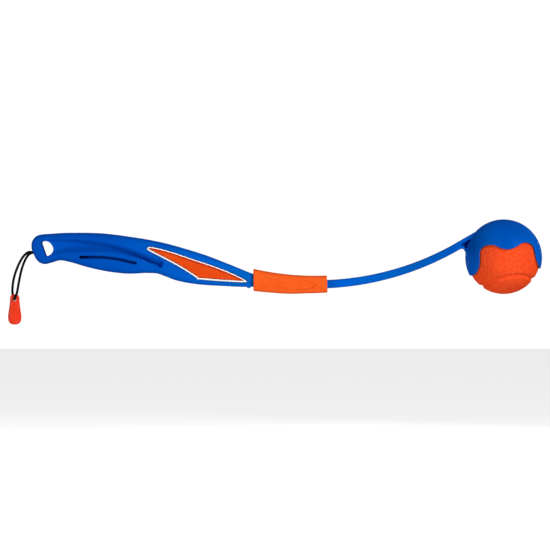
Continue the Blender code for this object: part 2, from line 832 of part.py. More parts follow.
def cup_opening():
    """What the cup leaves open, in the side view: below the claws' tips, the arches and the lobe."""
    edge = [
        Vector((CUP_CENTRE.x + x * CUP_OUTER_RADIUS, CUP_CENTRE.z + z * CUP_OUTER_RADIUS))
        for x, z in CUP_EDGE_SHARES
    ]
    curved = through(edge, 2, closed=False)
    far = 2 * CUP_OUTER_RADIUS
    left = [(CUP_CENTRE.x - far, CUP_CENTRE.z - far), (CUP_CENTRE.x - far, curved[0].y)]
    right = [(CUP_CENTRE.x + far, curved[-1].y), (CUP_CENTRE.x + far, CUP_CENTRE.z - far)]
    return prism("cup_opening", left + curved + right, -far, far)


def gusset():
    """Joins the arm's end to the cup: a flange that runs onto the dome and a root on the rear claw."""
    half = ARM_TIP_HEIGHT / 2
    back = ARM_TIP_ANGLE - GUSSET_BACK_ANGLE
    ahead = Vector((math.cos(ARM_TIP_ANGLE), 0.0, math.sin(ARM_TIP_ANGLE)))
    top = on_curve(back, half)
    under = on_curve(back, -half)
    run_on = top + ahead * CUP_OUTER_RADIUS
    root = under + ahead * ARM_TIP_HEIGHT * GUSSET_ROOT_SHARE
    heel = CUP_CENTRE + CUP_OUTER_RADIUS * Vector((-1.0, 0.0, GUSSET_HEEL_SHARE))
    heel.x += CUP_WALL / 2
    outline = [(p.x, p.z) for p in (top, run_on, CUP_CENTRE, heel, root, under)]
    return prism("gusset", outline, -ARM_WIDTH / 2, ARM_WIDTH / 2)


def gusset_pocket(side):
    """The three-cornered pocket between the flange, the arm's underside and the cup."""
    half = ARM_TIP_HEIGHT / 2
    ahead = Vector((math.cos(ARM_TIP_ANGLE), 0.0, math.sin(ARM_TIP_ANGLE)))
    up = Vector((-ahead.z, 0.0, ahead.x))
    tip = on_curve(ARM_TIP_ANGLE, 0.0)
    corners = [tip + ahead * x * ARM_WIDTH + up * z * half for x, z in GUSSET_POCKET_SHARES]
    outline = [(p.x, p.z) for p in corners]
    ends = (-ARM_WIDTH, -GUSSET_WEB / 2) if side < 0 else (GUSSET_WEB / 2, ARM_WIDTH)
    return prism("pocket_near" if side < 0 else "pocket_far", outline, *ends)


def make_arm():
    """Arm and cup are one moulding: beam, hinge eye, gusset and the clawed shell round the ball."""
    arm = arm_beam()
    add(arm, rod("arm_eye", PIN, (0, 1, 0), EYE_RADIUS, ARM_WIDTH, EAR_STEPS))
    add(arm, arm_heel())
    add(arm, gusset())
    for side in (-1, 1):
        cut(arm, gusset_pocket(side))
    skirt = CUP_OUTER_RADIUS * SKIRT_SHARE
    add(arm, capsule("cup_outside", CUP_OUTER_RADIUS, CUP_INNER_RADIUS + CLAW_TIP_WALL, skirt))
    cut(arm, capsule("cup_inside", CUP_INNER_RADIUS, CUP_INNER_RADIUS, 2 * CUP_OUTER_RADIUS))
    cut(arm, cup_opening())
    cut(arm, rod("eye_bore", PIN, (0, 1, 0), PIN_RADIUS + GAP, 2 * ARM_WIDTH))


def seam_point(t):
    """A point of the groove's curve on a unit ball: the two-lobed curve of a ball's seam."""
    lobe = SEAM_LOBE_SHARE
    wide = 1.0 - lobe
    point = Vector(
        (
            wide * math.cos(t) + lobe * math.cos(3 * t),
            wide * math.sin(t) - lobe * math.sin(3 * t),
            2 * math.sqrt(wide * lobe) * math.sin(2 * t),
        )
    )
    point.rotate(SEAM_TURN)
    return point.normalized()


def make_ball():
    """The ball, with one wide groove all round it."""
    rings = []
    count = 2 * BALL_RINGS
    for i in range(1, BALL_RINGS):
        angle = math.pi * i / BALL_RINGS
        rings.append(
            [
                CUP_CENTRE
                + BALL_RADIUS
                * Vector(
                    (
                        math.sin(angle) * math.cos(math.tau * j / count),
                        math.sin(angle) * math.sin(math.tau * j / count),
                        math.cos(angle),
                    )
                )
                for j in range(count)
            ]
        )
    points = [p for ring in rings for p in ring]
    top, bottom = len(points), len(points) + 1
    points += [CUP_CENTRE + Vector((0, 0, BALL_RADIUS)), CUP_CENTRE - Vector((0, 0, BALL_RADIUS))]
    faces = []
    for j in range(count):
        k = (j + 1) % count
        faces.append((top, j, k))
        last = (len(rings) - 1) * count
        faces.append((bottom, last + k, last + j))
        for i in range(len(rings) - 1):
            faces.append((i * count + j, (i + 1) * count + j, (i + 1) * count + k, i * count + k))
    ball = mesh_object("ball", points, faces, BALL_RUBBER, at=CUP_CENTRE)
    cut(ball, groove())


def groove():
    """A closed tube that lies along the groove's curve and bites into the ball."""
    rise = (GROOVE_HALF_WIDTH**2 - GROOVE_DEPTH**2) / (2 * GROOVE_DEPTH)
    tube_radius = rise + GROOVE_DEPTH
    steps, sides = GROOVE_STEPS, GROOVE_SIDES
    points, faces = [], []
    for i in range(steps):
        out, after = (seam_point(math.tau * k / steps) for k in (i, i + 1))
        across = out.cross(after - out).normalized()
        centre = CUP_CENTRE + out * (BALL_RADIUS + rise)
        for j in range(sides):
            angle = math.tau * j / sides
            points.append(centre + tube_radius * (math.cos(angle) * out + math.sin(angle) * across))
    for i in range(steps):
        for j in range(sides):
            k, m = (j + 1) % sides, (i + 1) % steps
            faces.append((i * sides + j, m * sides + j, m * sides + k, i * sides + k))
    return mesh_object("groove", points, faces)


def sleeve_ring(angle, top, bottom, half_width, radius, steps, upright=0.0):
    """A ring square to the arm's curve, or standing upright where the share given is 1."""
    section = rounded_section(top, bottom, half_width, radius, steps)
    lean = upright * math.tan(angle) / ARM_CURVE_RADIUS
    return [on_curve(angle + up * lean, up, across) for across, up in section]


def sleeve_drop(share):
    """How far the sleeve's underside lies below the arm's centre line, at a share of its length."""
    way = smooth_value(SLEEVE_DROP_SHARES, share, 1)
    return SLEEVE_MOUTH_DROP + (SLEEVE_END_DROP - SLEEVE_MOUTH_DROP) * way


def sleeve_angle(length):
    """The angle along the arm's curve at a length from the sleeve's mouth."""
    return ARM_ROOT_ANGLE + (length - SLEEVE_OVER_NECK) / ARM_CURVE_RADIUS


def sleeve_outside():
    rings = []
    lip = SLEEVE_LIP_RADIUS
    lengths = [lip * share for share in LIP_SHARES]
    lengths += [
        lip + (SLEEVE_LENGTH - 2 * lip) * i / SLEEVE_STATIONS for i in range(1, SLEEVE_STATIONS)
    ]
    lengths += [SLEEVE_LENGTH - lip * share for share in reversed(LIP_SHARES)]
    for length in lengths:
        to_end = min(length, SLEEVE_LENGTH - length, lip)
        shrink = lip - math.sqrt(max(lip**2 - (lip - to_end) ** 2, 0.0))
        share = length / SLEEVE_LENGTH
        rings.append(
            sleeve_ring(
                sleeve_angle(length),
                SLEEVE_TOP - shrink,
                -sleeve_drop(share) + shrink,
                SLEEVE_WIDTH / 2 - shrink,
                SLEEVE_EDGE_RADIUS,
                CORNER_STEPS,
                upright=1.0 - share,
            )
        )
    return loft("lock_sleeve", rings, ORANGE_RUBBER, at=CURVE_CENTRE)


def sleeve_neck_bore():
    """The wide end of the bore, over the fork, with room for the first degrees of the fold."""
    ear_top = EAR_RADIUS - PIN_BELOW_ARM_LINE
    ear_bottom = EAR_RADIUS + PIN_BELOW_ARM_LINE
    step = SLEEVE_OVER_NECK + SLEEVE_STEP
    mouth_bottom = sleeve_drop(0.0) - SLEEVE_LIP_RADIUS * 2
    rings = []
    for length, bottom in (
        (-OVERRUN, mouth_bottom),
        (0.0, mouth_bottom),
        (SLEEVE_OVER_NECK, ear_bottom + SLEEVE_NECK_CLEARANCE),
        (step, ear_bottom + SLEEVE_NECK_CLEARANCE),
    ):
        rings.append(
            sleeve_ring(
                sleeve_angle(length),
                ear_top + GAP,
                -bottom,
                FORK_WIDTH / 2 + GAP,
                GAP,
                1,
            )
        )
    return loft("neck_bore", rings)


def sleeve_arm_bore():
    """The rest of the bore, a close fit on the arm all along."""
    rings = []
    up = ARM_ROOT_HEIGHT / 2 + GAP
    half = ARM_WIDTH / 2 + GAP
    for i in range(SLEEVE_STATIONS + 1):
        length = SLEEVE_OVER_NECK + (SLEEVE_LENGTH - SLEEVE_OVER_NECK + OVERRUN) * i / SLEEVE_STATIONS
        ring = sleeve_ring(sleeve_angle(length), up, -up, half, ARM_EDGE_RADIUS, SMALL_CORNER_STEPS)
        rings.append(ring)
    return loft("arm_bore", rings)


def grip_oval(side):
    """The shallow oval finger pad on one side of the sleeve."""
    middle = SLEEVE_LENGTH * GRIP_OVAL_PLACE_SHARE
    middle_up = (SLEEVE_TOP - sleeve_drop(GRIP_OVAL_PLACE_SHARE)) / 2
    inner = SLEEVE_WIDTH / 2 - GRIP_OVAL_DEPTH
    rings = []
    for across in ((inner, SLEEVE_WIDTH) if side > 0 else (-SLEEVE_WIDTH, -inner)):
        ring = []
        for i in range(ROUND_STEPS):
            turn = math.tau * i / ROUND_STEPS
            length = middle + GRIP_OVAL_LENGTH / 2 * math.sin(turn)
            up = middle_up + GRIP_OVAL_HEIGHT / 2 * math.cos(turn)
            ring.append(on_curve(sleeve_angle(length), up, across))
        rings.append(ring)
    return loft("oval_near" if side < 0 else "oval_far", rings)


def make_sleeve():
    sleeve = sleeve_outside()
    cut(sleeve, sleeve_neck_bore())
    cut(sleeve, sleeve_arm_bore())
    for side in (-1, 1):
        cut(sleeve, grip_oval(side))


def make_cord():
    """Two strands from the knot, out of the handle's end, down and through the pull tab."""
    z = handle_point((0.0, CORD_HOLE_UP_SHARE)).y
    start = (knot_seat_x() - GAP, CORD_SPREAD, z)
    finish = (knot_seat_x() - GAP, -CORD_SPREAD, z)
    route = [start, (HANDLE_START_X, CORD_SPREAD, z), *CORD_FAR_STRAND]
    route += [*CORD_NEAR_STRAND, (HANDLE_START_X, -CORD_SPREAD, z), finish]
    fine = through(route, CORD_SMOOTH_STEPS, closed=False)
    reach = [0.0]
    for a, b in zip(fine, fine[1:]):
        reach.append(reach[-1] + (b - a).length)
    points = []
    k = 0
    for i in range(CORD_POINTS):
        want = reach[-1] * i / (CORD_POINTS - 1)
        while k < len(fine) - 2 and reach[k + 1] < want:
            k += 1
        t = (want - reach[k]) / (reach[k + 1] - reach[k])
        points.append(fine[k].lerp(fine[k + 1], t))
    curve = bpy.data.curves.new("lanyard_cord", "CURVE")
    curve.dimensions = "3D"
    curve.bevel_depth = CORD_RADIUS
    curve.bevel_resolution = 2
    curve.use_fill_caps = True
    spline = curve.splines.new("POLY")
    spline.points.add(len(points) - 1)
    for point, place in zip(spline.points, points):
        point.co = (*place, 1.0)
    curve.materials.append(material("lanyard_cord", BLACK_CORD))
    bpy.context.scene.collection.objects.link(bpy.data.objects.new("lanyard_cord", curve))
    print(f"lanyard cord length {reach[-1] * 1000:.1f} mm")


def make_knot():
    """The overhand knot that stops both strands in its seat in the hang hole's wall."""
    z = handle_point((0.0, CORD_HOLE_UP_SHARE)).y
    left = knot_seat_x() + GAP / 3
    rings = []
    for i in range(KNOT_STATIONS + 1):
        share = i / KNOT_STATIONS
        swell = math.sqrt(max(1.0 - (2 * share - 1) ** 2, 0.0))
        waist = 1.0 - KNOT_WAIST_SHARE * math.cos(2 * math.tau * share)
        radius = KNOT_RADIUS * (KNOT_END_SHARE + KNOT_SWELL_SHARE * swell) * waist
        angles = [math.tau * j / SMALL_ROUND_STEPS for j in range(SMALL_ROUND_STEPS)]
        x = left + KNOT_LENGTH * share
        rings.append([(x, radius * math.cos(a), z + radius * math.sin(a)) for a in angles])
    loft("lanyard_knot", rings, BLACK_CORD)


def make_tab():
    """The drop-shaped pull tab that hangs on the cord."""
    turn_low = (Vector(CORD_FAR_STRAND[-1]) + Vector(CORD_NEAR_STRAND[0])) / 2
    hole = turn_low - Vector((0.0, 0.0, GAP / 2))
    top_z = hole.z + TAB_HOLE_DROP
    rings = []
    for down, width, thick in TAB_SHARES:
        z = top_z - down * TAB_LENGTH
        half = width * TAB_WIDTH / 2
        deep = thick * TAB_THICKNESS / 2
        ring = []
        for i in range(ROUND_STEPS):
            angle = math.tau * i / ROUND_STEPS
            ring.append((hole.x + half * math.cos(angle), -deep * math.sin(angle), z))
        rings.append(ring)
    tab = loft("pull_tab", rings, RED_TAB)
    through_hole = rod("tab_hole", hole, (0, 1, 0), TAB_HOLE_RADIUS, 2 * TAB_THICKNESS, SMALL_ROUND_STEPS)
    cut(tab, through_hole)


def main():
    clear_scene()
    make_handle()
    make_badge()
    make_pin()
    make_arm()
    make_ball()
    make_sleeve()
    make_cord()
    make_knot()
    make_tab()


main()
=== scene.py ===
"""The looks of a folding dog ball thrower.

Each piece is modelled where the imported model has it, finely and with the soft edges of a moulding, and
gets a finish worked out from real sizes. Metres, +Z up, the ball towards +X, the badge on the -Y side.
"""

import json
import math
from functools import cache

import bmesh
import bpy
import numpy as np
from mathutils import Euler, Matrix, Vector, noise
from mathutils.geometry import delaunay_2d_cdt


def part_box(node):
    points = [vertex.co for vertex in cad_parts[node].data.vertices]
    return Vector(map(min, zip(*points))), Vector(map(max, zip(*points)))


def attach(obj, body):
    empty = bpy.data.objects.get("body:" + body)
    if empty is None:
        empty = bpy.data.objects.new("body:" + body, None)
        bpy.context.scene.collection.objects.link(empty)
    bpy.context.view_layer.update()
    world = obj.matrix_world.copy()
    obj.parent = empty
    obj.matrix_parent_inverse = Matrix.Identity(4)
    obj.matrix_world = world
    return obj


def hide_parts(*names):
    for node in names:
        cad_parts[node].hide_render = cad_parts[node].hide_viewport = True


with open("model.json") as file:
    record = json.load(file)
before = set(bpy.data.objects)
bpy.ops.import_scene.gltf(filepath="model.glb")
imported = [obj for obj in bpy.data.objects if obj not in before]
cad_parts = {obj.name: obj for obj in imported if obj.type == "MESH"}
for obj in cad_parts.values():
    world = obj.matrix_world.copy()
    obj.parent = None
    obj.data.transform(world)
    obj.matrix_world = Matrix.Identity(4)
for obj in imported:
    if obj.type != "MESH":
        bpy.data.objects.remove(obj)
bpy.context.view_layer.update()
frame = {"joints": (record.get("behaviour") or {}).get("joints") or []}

MM = 0.001
ALONG = Vector((1, 0, 0))
ACROSS = Vector((0, 1, 0))
JOINTS = {joint["name"]: joint for joint in frame["joints"]}

# Places that the frame gives
PIN = Vector(JOINTS["arm_fold"]["pos_m"])
CURVE_CENTRE = Vector(JOINTS["sleeve_slide"]["pos_m"])
BALL_LOW, BALL_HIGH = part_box("ball")
CUP_CENTRE = (BALL_LOW + BALL_HIGH) / 2
BALL_RADIUS = (BALL_HIGH.y - BALL_LOW.y) / 2
PIN_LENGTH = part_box("hinge_pin")[1].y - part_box("hinge_pin")[0].y
KNOT_LOW, KNOT_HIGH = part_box("lanyard_knot")
TAB_LOW, TAB_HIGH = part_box("pull_tab")

# Photograph: its frame, and where the camera stands
PHOTO_WIDTH = 550
MM_PER_PIXEL = 0.877
CAMERA_PLACE = Vector((142.95 * MM, -2200.0 * MM, -18.86 * MM))
CAMERA_REACH = 50.0
SENSOR_WIDTH = 36.0
VIEW_WIDTH = PHOTO_WIDTH * MM_PER_PIXEL * MM

# Handle
HANDLE_LENGTH = 194.0 * MM
HANDLE_HEIGHT = 47.6 * MM
HANDLE_THICKNESS = 24.0 * MM
HANDLE_EDGE_RADIUS = 5.0 * MM
HANDLE_EDGE_SHARE = 0.55
HANDLE_CROWN_SHARE = 0.05
NECK_EDGE_RADIUS = 1.6 * MM
NECK_EDGE_SHARES = (0.80, 0.94)
GRIP_ALONG_SHARE = 0.3665
GRIP_UP_SHARE = 0.628
HANG_HOLE_LENGTH = 11.0 * MM
HANG_HOLE_HEIGHT = 13.2 * MM
CHANNEL_END_DEPTH = 4.0 * MM
CHANNEL_START_DEPTH = 1.2 * MM
CHANNEL_DRAFT = 0.2 * MM
SLOT_WIDTH = 2.4 * MM
SLOT_DEPTH = 7.0 * MM
STOP_BUMP_RADIUS = 1.6 * MM
STOP_BUMP_SETBACK = 2.9 * MM
STOP_BUMP_RISE = 0.5 * MM

# Hinge
PIN_RADIUS = 1.5 * MM
PIN_CHAMFER = 0.3 * MM
PIN_BELOW_ARM_LINE = 1.1 * MM
EAR_RADIUS = 5.9 * MM
EYE_RADIUS = 5.0 * MM
FORK_WIDTH = 16.0 * MM
FOLD_ANGLE = math.radians(155)

# Arm and cup
ARM_WIDTH = 11.0 * MM
ARM_ROOT_HEIGHT = 7.8 * MM
ARM_TIP_HEIGHT = 6.5 * MM
ARM_EDGE_RADIUS = 1.6 * MM
ARM_ROOT_ANGLE = math.radians(-9.7)
ARM_TIP_ANGLE = math.radians(30.0)
CUP_GAP = 0.6 * MM
CUP_WALL = 1.0 * MM
CUP_INNER_RADIUS = BALL_RADIUS + CUP_GAP
CUP_OUTER_RADIUS = CUP_INNER_RADIUS + CUP_WALL
GUSSET_WEB = 1.2 * MM
GUSSET_BACK_ANGLE = math.radians(0.6)

# Ball's groove and pebble
GROOVE_HALF_WIDTH = 3.2 * MM
GROOVE_DEPTH = 1.4 * MM
PEBBLE_WIDTH = 1.7 * MM
PEBBLE_HEIGHT = 0.18 * MM
PEBBLE_IN_GROOVE_SHARE = 0.35
SEAM_LOBE_SHARE = 0.25
SEAM_TURN = Euler((math.radians(-88.0), math.radians(-53.0), math.radians(2.0)))

# Sleeve
SLEEVE_LENGTH = 65.0 * MM
SLEEVE_WIDTH = 22.0 * MM
SLEEVE_TOP = 7.6 * MM
SLEEVE_MOUTH_DROP = 11.4 * MM
SLEEVE_END_DROP = 7.4 * MM
SLEEVE_EDGE_RADIUS = 3.0 * MM
SLEEVE_LIP_RADIUS = 0.8 * MM
SLEEVE_OVER_NECK = 12.2 * MM
SLEEVE_STEP = 7.5 * MM
SLEEVE_NECK_CLEARANCE = 1.1 * MM
GRIP_OVAL_DEPTH = 0.8 * MM
GRIP_OVAL_LENGTH = 45.0 * MM
GRIP_OVAL_HEIGHT = 10.5 * MM
GRIP_OVAL_PLACE_SHARE = 0.51
GRIP_OVAL_SLOPE = 1.9 * MM
RIBS_LENGTH = (23.6 * MM, 29.6 * MM)
RIB_PITCH = 1.5 * MM
RIB_HEIGHT = 0.3 * MM
RIB_DROP_SHARE = 1.2
RIB_FADE_SHARE = 0.25

# Badge
BADGE_EDGE = 1.05 * MM
BADGE_EDGE_SHIFT = 0.2 * MM
BADGE_SINK = 0.2 * MM
BADGE_PANEL_SINK = 0.35 * MM
BADGE_PANEL_THICKNESS = 1.15 * MM
BADGE_BACKING_THICKNESS = 0.3 * MM
BADGE_MOAT_WIDTH = 0.8 * MM
BADGE_MOAT_DEPTH = 1.2 * MM
BADGE_FACE_SHIFT = -0.15 * MM
BADGE_RECESS_MARGIN = 0.55 * MM
BADGE_ROUND = 0.15 * MM
BADGE_GRID = 1.5 * MM

# Cord, knot and tab
CORD_RADIUS = 0.875 * MM
CORD_FLUFF = 0.25 * MM
CORD_SPREAD = 1.15 * MM
CORD_DROP = 1.0 * MM
CORD_LAY = 7.5 * MM
CORD_PLIES = 3
CORD_FURROW_SHARE = 0.14
CORD_HOLE_UP_SHARE = 0.646
KNOT_LENGTH = 4.8 * MM
KNOT_RADIUS = 2.6 * MM
KNOT_STRAND_RADIUS = 0.85 * MM
TAB_LENGTH = 26.7 * MM
TAB_WIDTH = 11.8 * MM
TAB_THICKNESS = 6.4 * MM
TAB_HOLE_RADIUS = 1.4 * MM
TAB_HOLE_DROP = 4.6 * MM

# Fits, and how far a cutter runs past what it cuts
GAP = 0.3 * MM
FOLD_GAP = 0.4 * MM
OVERRUN = 6.0 * MM

# Fineness: mesh sizes, and how many steps go along or round each shape
LARGE_VOXEL = 0.40 * MM
SHELL_VOXEL = 0.38 * MM
SMALL_VOXEL = 0.20 * MM
HANDLE_STATIONS = 260
ARM_STATIONS = 120
SLEEVE_STATIONS = 180
SLEEVE_SIDE_STEPS = 36
SLEEVE_LIP_STEPS = 6
BORE_STATIONS = 20
MOUTH_STATIONS = 10
CORNER_STEPS = 8
SIDE_STEPS = 14
OUTLINE_STEPS = 6
HOLE_STEPS = 8
EAR_STEPS = 32
ROD_STEPS = 64
GLOBE_STEPS = 96
BALL_GRID = 130
SEAM_STEPS = 900
FOLD_STEP = math.radians(0.5)
SLOT_END_DEGREES = range(75, -76, -15)
CORD_CURVE_STEPS = 16
CORD_STATIONS = 330
CORD_SIDES = 36
KNOT_STATIONS = 120
TAB_STATIONS = 80

# Edges that meet at more than this stay crisp
CRISP_ANGLE = math.radians(50)
PIN_CRISP_ANGLE = math.radians(30)

# Studio: the floor, the brightness of floor and backdrop as the camera sees them, the even light of the
# room, and each softbox's place, size in metres and power in watts
FLOOR_Z = -0.32
FLOOR_REACH = 8.0
FLOOR_GLOW = 0.8
BACKDROP_GLOW = 1.05
ROOM_LIGHT = 0.03
LIGHTS_AIM = Vector((0.14, 0.0, -0.01))
SOFTBOXES = (
    ("key", (1.75, -1.60, 1.40), 0.3, 48.0),
    ("left", (-1.90, -1.40, 0.05), 1.0, 27.0),
    ("low", (0.80, -1.45, -1.85), 1.0, 36.0),
    ("front", (0.14, -2.60, 0.10), 1.0, 1.4),
    ("back_left", (1.50, 2.00, 0.60), 0.8, 36.0),
    ("back_right", (-1.10, 2.20, 0.10), 1.0, 26.0),
)

# Painted light and shade along the thrower, which lighten or darken the blue by place: a place in mm, and
# the shares of green and blue light there
BLUE_PAINTED_LIGHT_SHARES = (
    (-100.0, 0.62, 0.68),
    (5.0, 0.67, 0.72),
    (30.0, 0.77, 0.76),
    (60.0, 0.87, 0.84),
    (90.0, 1.00, 0.92),
    (112.0, 0.98, 0.79),
    (200.0, 0.97, 0.90),
    (270.0, 0.88, 0.69),
    (297.0, 0.74, 0.69),
    (312.0, 0.88, 0.84),
    (327.0, 0.93, 0.83),
    (344.0, 0.77, 0.77),
    (364.0, 0.92, 0.86),
    (390.0, 0.92, 0.86),
)

# Handle side view, as shares of its length and height, and its half thickness as a share of the full one
HANDLE_SHARES = (
    (0.003, 0.790, 0.725, 0.24),
    (0.005, 0.824, 0.690, 0.40),
    (0.008, 0.852, 0.658, 0.52),
    (0.016, 0.902, 0.590, 0.63),
    (0.026, 0.938, 0.510, 0.69),
    (0.043, 0.964, 0.445, 0.73),
    (0.063, 0.975, 0.423, 0.76),
    (0.093, 0.982, 0.452, 0.80),
    (0.133, 0.994, 0.492, 0.87),
    (0.179, 1.000, 0.459, 0.92),
    (0.247, 1.000, 0.378, 0.97),
    (0.314, 0.991, 0.313, 1.00),
    (0.382, 0.965, 0.267, 1.00),
    (0.450, 0.926, 0.245, 1.00),
    (0.518, 0.884, 0.258, 1.00),
    (0.563, 0.849, 0.254, 1.00),
    (0.609, 0.807, 0.197, 0.98),
    (0.654, 0.759, 0.127, 0.95),
    (0.722, 0.678, 0.068, 0.89),
    (0.790, 0.589, 0.037, 0.83),
    (0.880, 0.449, 0.017, 0.75),
    (0.971, 0.298, 0.002, 0.68),
    (1.000, 0.249, 0.002, 0.667),
)

# Hang hole about its own centre, as shares of its length and height
HANG_HOLE_SHARES = (
    (-0.49, 0.39),
    (-0.40, 0.47),
    (-0.21, 0.50),
    (0.07, 0.45),
    (0.33, 0.29),
    (0.50, 0.00),
    (0.43, -0.26),
    (0.21, -0.44),
    (-0.03, -0.50),
    (-0.14, -0.45),
)
HANG_HOLE_CENTRE_SHARES = (0.0756, 0.710)

# Grip channel outline and the centre line of the narrow slot, as shares of the handle
CHANNEL_SHARES = (
    (0.078, 0.850),
    (0.108, 0.871),
    (0.156, 0.882),
    (0.226, 0.871),
    (0.285, 0.847),
    (0.346, 0.814),
    (0.398, 0.766),
    (0.449, 0.705),
    (0.501, 0.630),
    (0.538, 0.568),
    (0.561, 0.532),
    (0.583, 0.508),
    (0.595, 0.484),
    (0.602, 0.444),
    (0.601, 0.405),
    (0.595, 0.372),
    (0.587, 0.356),
    (0.578, 0.366),
    (0.539, 0.440),
    (0.501, 0.512),
    (0.449, 0.571),
    (0.398, 0.619),
    (0.346, 0.645),
    (0.294, 0.652),
    (0.226, 0.645),
    (0.144, 0.626),
    (0.108, 0.600),
    (0.078, 0.580),
)
SLOT_SHARES = (
    (0.228, 0.549),
    (0.294, 0.549),
    (0.346, 0.540),
    (0.398, 0.512),
    (0.449, 0.464),
    (0.476, 0.442),
)

# Badge outline, as shares of the handle
BADGE_SHARES = (
    (0.529, 0.703),
    (0.545, 0.737),
    (0.629, 0.656),
    (0.720, 0.532),
    (0.829, 0.383),
    (0.913, 0.247),
    (0.973, 0.118),
    (0.956, 0.090),
    (0.862, 0.110),
    (0.764, 0.143),
    (0.755, 0.158),
    (0.696, 0.315),
    (0.629, 0.471),
    (0.539, 0.660),
)

# Lower edge of the cup in the side view, about its centre, as shares of its outer radius
CUP_EDGE_SHARES = (
    (-0.960, -0.400),
    (-0.925, -0.445),
    (-0.885, -0.468),
    (-0.814, -0.462),
    (-0.748, -0.383),
    (-0.703, -0.283),
    (-0.683, -0.152),
    (-0.683, 0.031),
    (-0.675, 0.146),
    (-0.633, 0.235),
    (-0.551, 0.300),
    (-0.470, 0.318),
    (-0.383, 0.322),
    (-0.287, 0.298),
    (-0.157, 0.240),
    (-0.018, 0.208),
    (0.127, 0.222),
    (0.268, 0.283),
    (0.404, 0.368),
    (0.498, 0.388),
    (0.592, 0.374),
    (0.670, 0.326),
    (0.725, 0.238),
    (0.759, 0.100),
    (0.787, -0.030),
    (0.837, -0.155),
    (0.891, -0.248),
    (0.940, -0.288),
    (0.985, -0.270),
)

# Gusset's underside with its fillet, and the pocket beside its web, about the cup's centre as above
GUSSET_UNDER_SHARES = (
    (-1.003, 0.155),
    (-1.015, 0.194),
    (-1.033, 0.218),
    (-1.063, 0.228),
    (-1.143, 0.222),
)
GUSSET_POCKET_SHARES = (
    (-1.128, 0.334),
    (-0.833, 0.505),
    (-0.976, 0.236),
)

# How far the sleeve's lower side has come from its drop at the mouth to that at its end, along its length
SLEEVE_DROP_SHARES = (
    (0.00, 0.00),
    (0.28, 0.34),
    (0.50, 0.54),
    (0.76, 0.88),
    (1.00, 1.00),
)

# Pull tab: share of its length from the top, then of its half width and of its half thickness
TAB_SHARES = (
    (0.00, 0.10, 0.12),
    (0.01, 0.36, 0.28),
    (0.03, 0.52, 0.38),
    (0.07, 0.63, 0.44),
    (0.12, 0.70, 0.47),
    (0.24, 0.73, 0.48),
    (0.36, 0.78, 0.62),
    (0.55, 0.90, 0.88),
    (0.73, 1.00, 1.00),
    (0.84, 0.97, 0.90),
    (0.92, 0.84, 0.70),
    (0.97, 0.60, 0.48),
    (0.99, 0.38, 0.32),
    (1.00, 0.10, 0.10),
)

# Route of the cord outside the handle, in metres: down the far strand and up the near one
CORD_FAR_STRAND = (
    (-0.0722, 0.00115, 0.00090),
    (-0.0738, 0.00118, 0.00055),
    (-0.0758, 0.00125, -0.00080),
    (-0.0776, 0.00135, -0.00270),
    (-0.0793, 0.00145, -0.00500),
    (-0.0810, 0.00160, -0.00800),
    (-0.0827, 0.00175, -0.01160),
    (-0.0843, 0.00195, -0.01560),
    (-0.0858, 0.00220, -0.02020),
    (-0.0870, 0.00255, -0.02560),
    (-0.0876, 0.00305, -0.03060),
    (-0.0877, 0.00355, -0.03480),
    (-0.0871, 0.00370, -0.03740),
    (-0.0862, 0.00325, -0.03930),
    (-0.0855, 0.00180, -0.04055),
)
CORD_NEAR_STRAND = (
    (-0.0852, -0.00180, -0.04055),
    (-0.0847, -0.00310, -0.03930),
    (-0.0839, -0.00350, -0.03740),
    (-0.0829, -0.00340, -0.03440),
    (-0.0821, -0.00305, -0.02990),
    (-0.0814, -0.00270, -0.02560),
    (-0.0805, -0.00240, -0.02080),
    (-0.0793, -0.00205, -0.01540),
    (-0.0780, -0.00175, -0.01100),
    (-0.0766, -0.00150, -0.00740),
    (-0.0751, -0.00130, -0.00440),
    (-0.0739, -0.00120, -0.00250),
    (-0.0728, -0.00116, -0.00130),
    (-0.0717, -0.00115, -0.00070),
)

HANDLE_START_X = -GRIP_ALONG_SHARE * HANDLE_LENGTH
HANDLE_BOTTOM_Z = -GRIP_UP_SHARE * HANDLE_HEIGHT
NECK_X = HANDLE_START_X + HANDLE_LENGTH
FORK_SLOT_WIDTH = ARM_WIDTH + 2 * GAP
ARM_CURVE_RADIUS = (CURVE_CENTRE - PIN).length - PIN_BELOW_ARM_LINE
PANEL_FACE_DEPTH = BADGE_SINK + BADGE_PANEL_SINK
TRAY_FLOOR_DEPTH = PANEL_FACE_DEPTH + BADGE_PANEL_THICKNESS + GAP
RECESS_DEPTH = TRAY_FLOOR_DEPTH + BADGE_BACKING_THICKNESS + GAP


# Shapes that the pieces are made from


def scene_object(name, data):
    made = bpy.data.objects.new(name, data)
    bpy.context.scene.collection.objects.link(made)
    return made


def mesh_object(name, points, faces):
    mesh = bpy.data.meshes.new(name)
    mesh.from_pydata([tuple(p) for p in points], [], faces)
    mesh.update()
    return scene_object(name, mesh)


def ring_faces(rings, count, closed=False):
    """The quads between rings that lie one after the other in a list of points."""
    faces = []
    for i in range(rings if closed else rings - 1):
        after = (i + 1) % rings
        for j in range(count):
            k = (j + 1) % count
            faces.append((i * count + j, i * count + k, after * count + k, after * count + j))
    return faces


def loft(name, rings):
    """A closed solid through rings of as many points each, with flat ends."""
    count = len(rings[0])
    points = [p for ring in rings for p in ring]
    faces = ring_faces(len(rings), count)
    faces.append(tuple(reversed(range(count))))
    faces.append(tuple(range(len(points) - count, len(points))))
    return mesh_object(name, points, faces)


def clockwise(outline):
    around = list(outline[1:]) + [outline[0]]
    turned = sum((b[0] - a[0]) * (b[1] + a[1]) for a, b in zip(outline, around))
    return list(outline) if turned > 0 else list(reversed(outline))


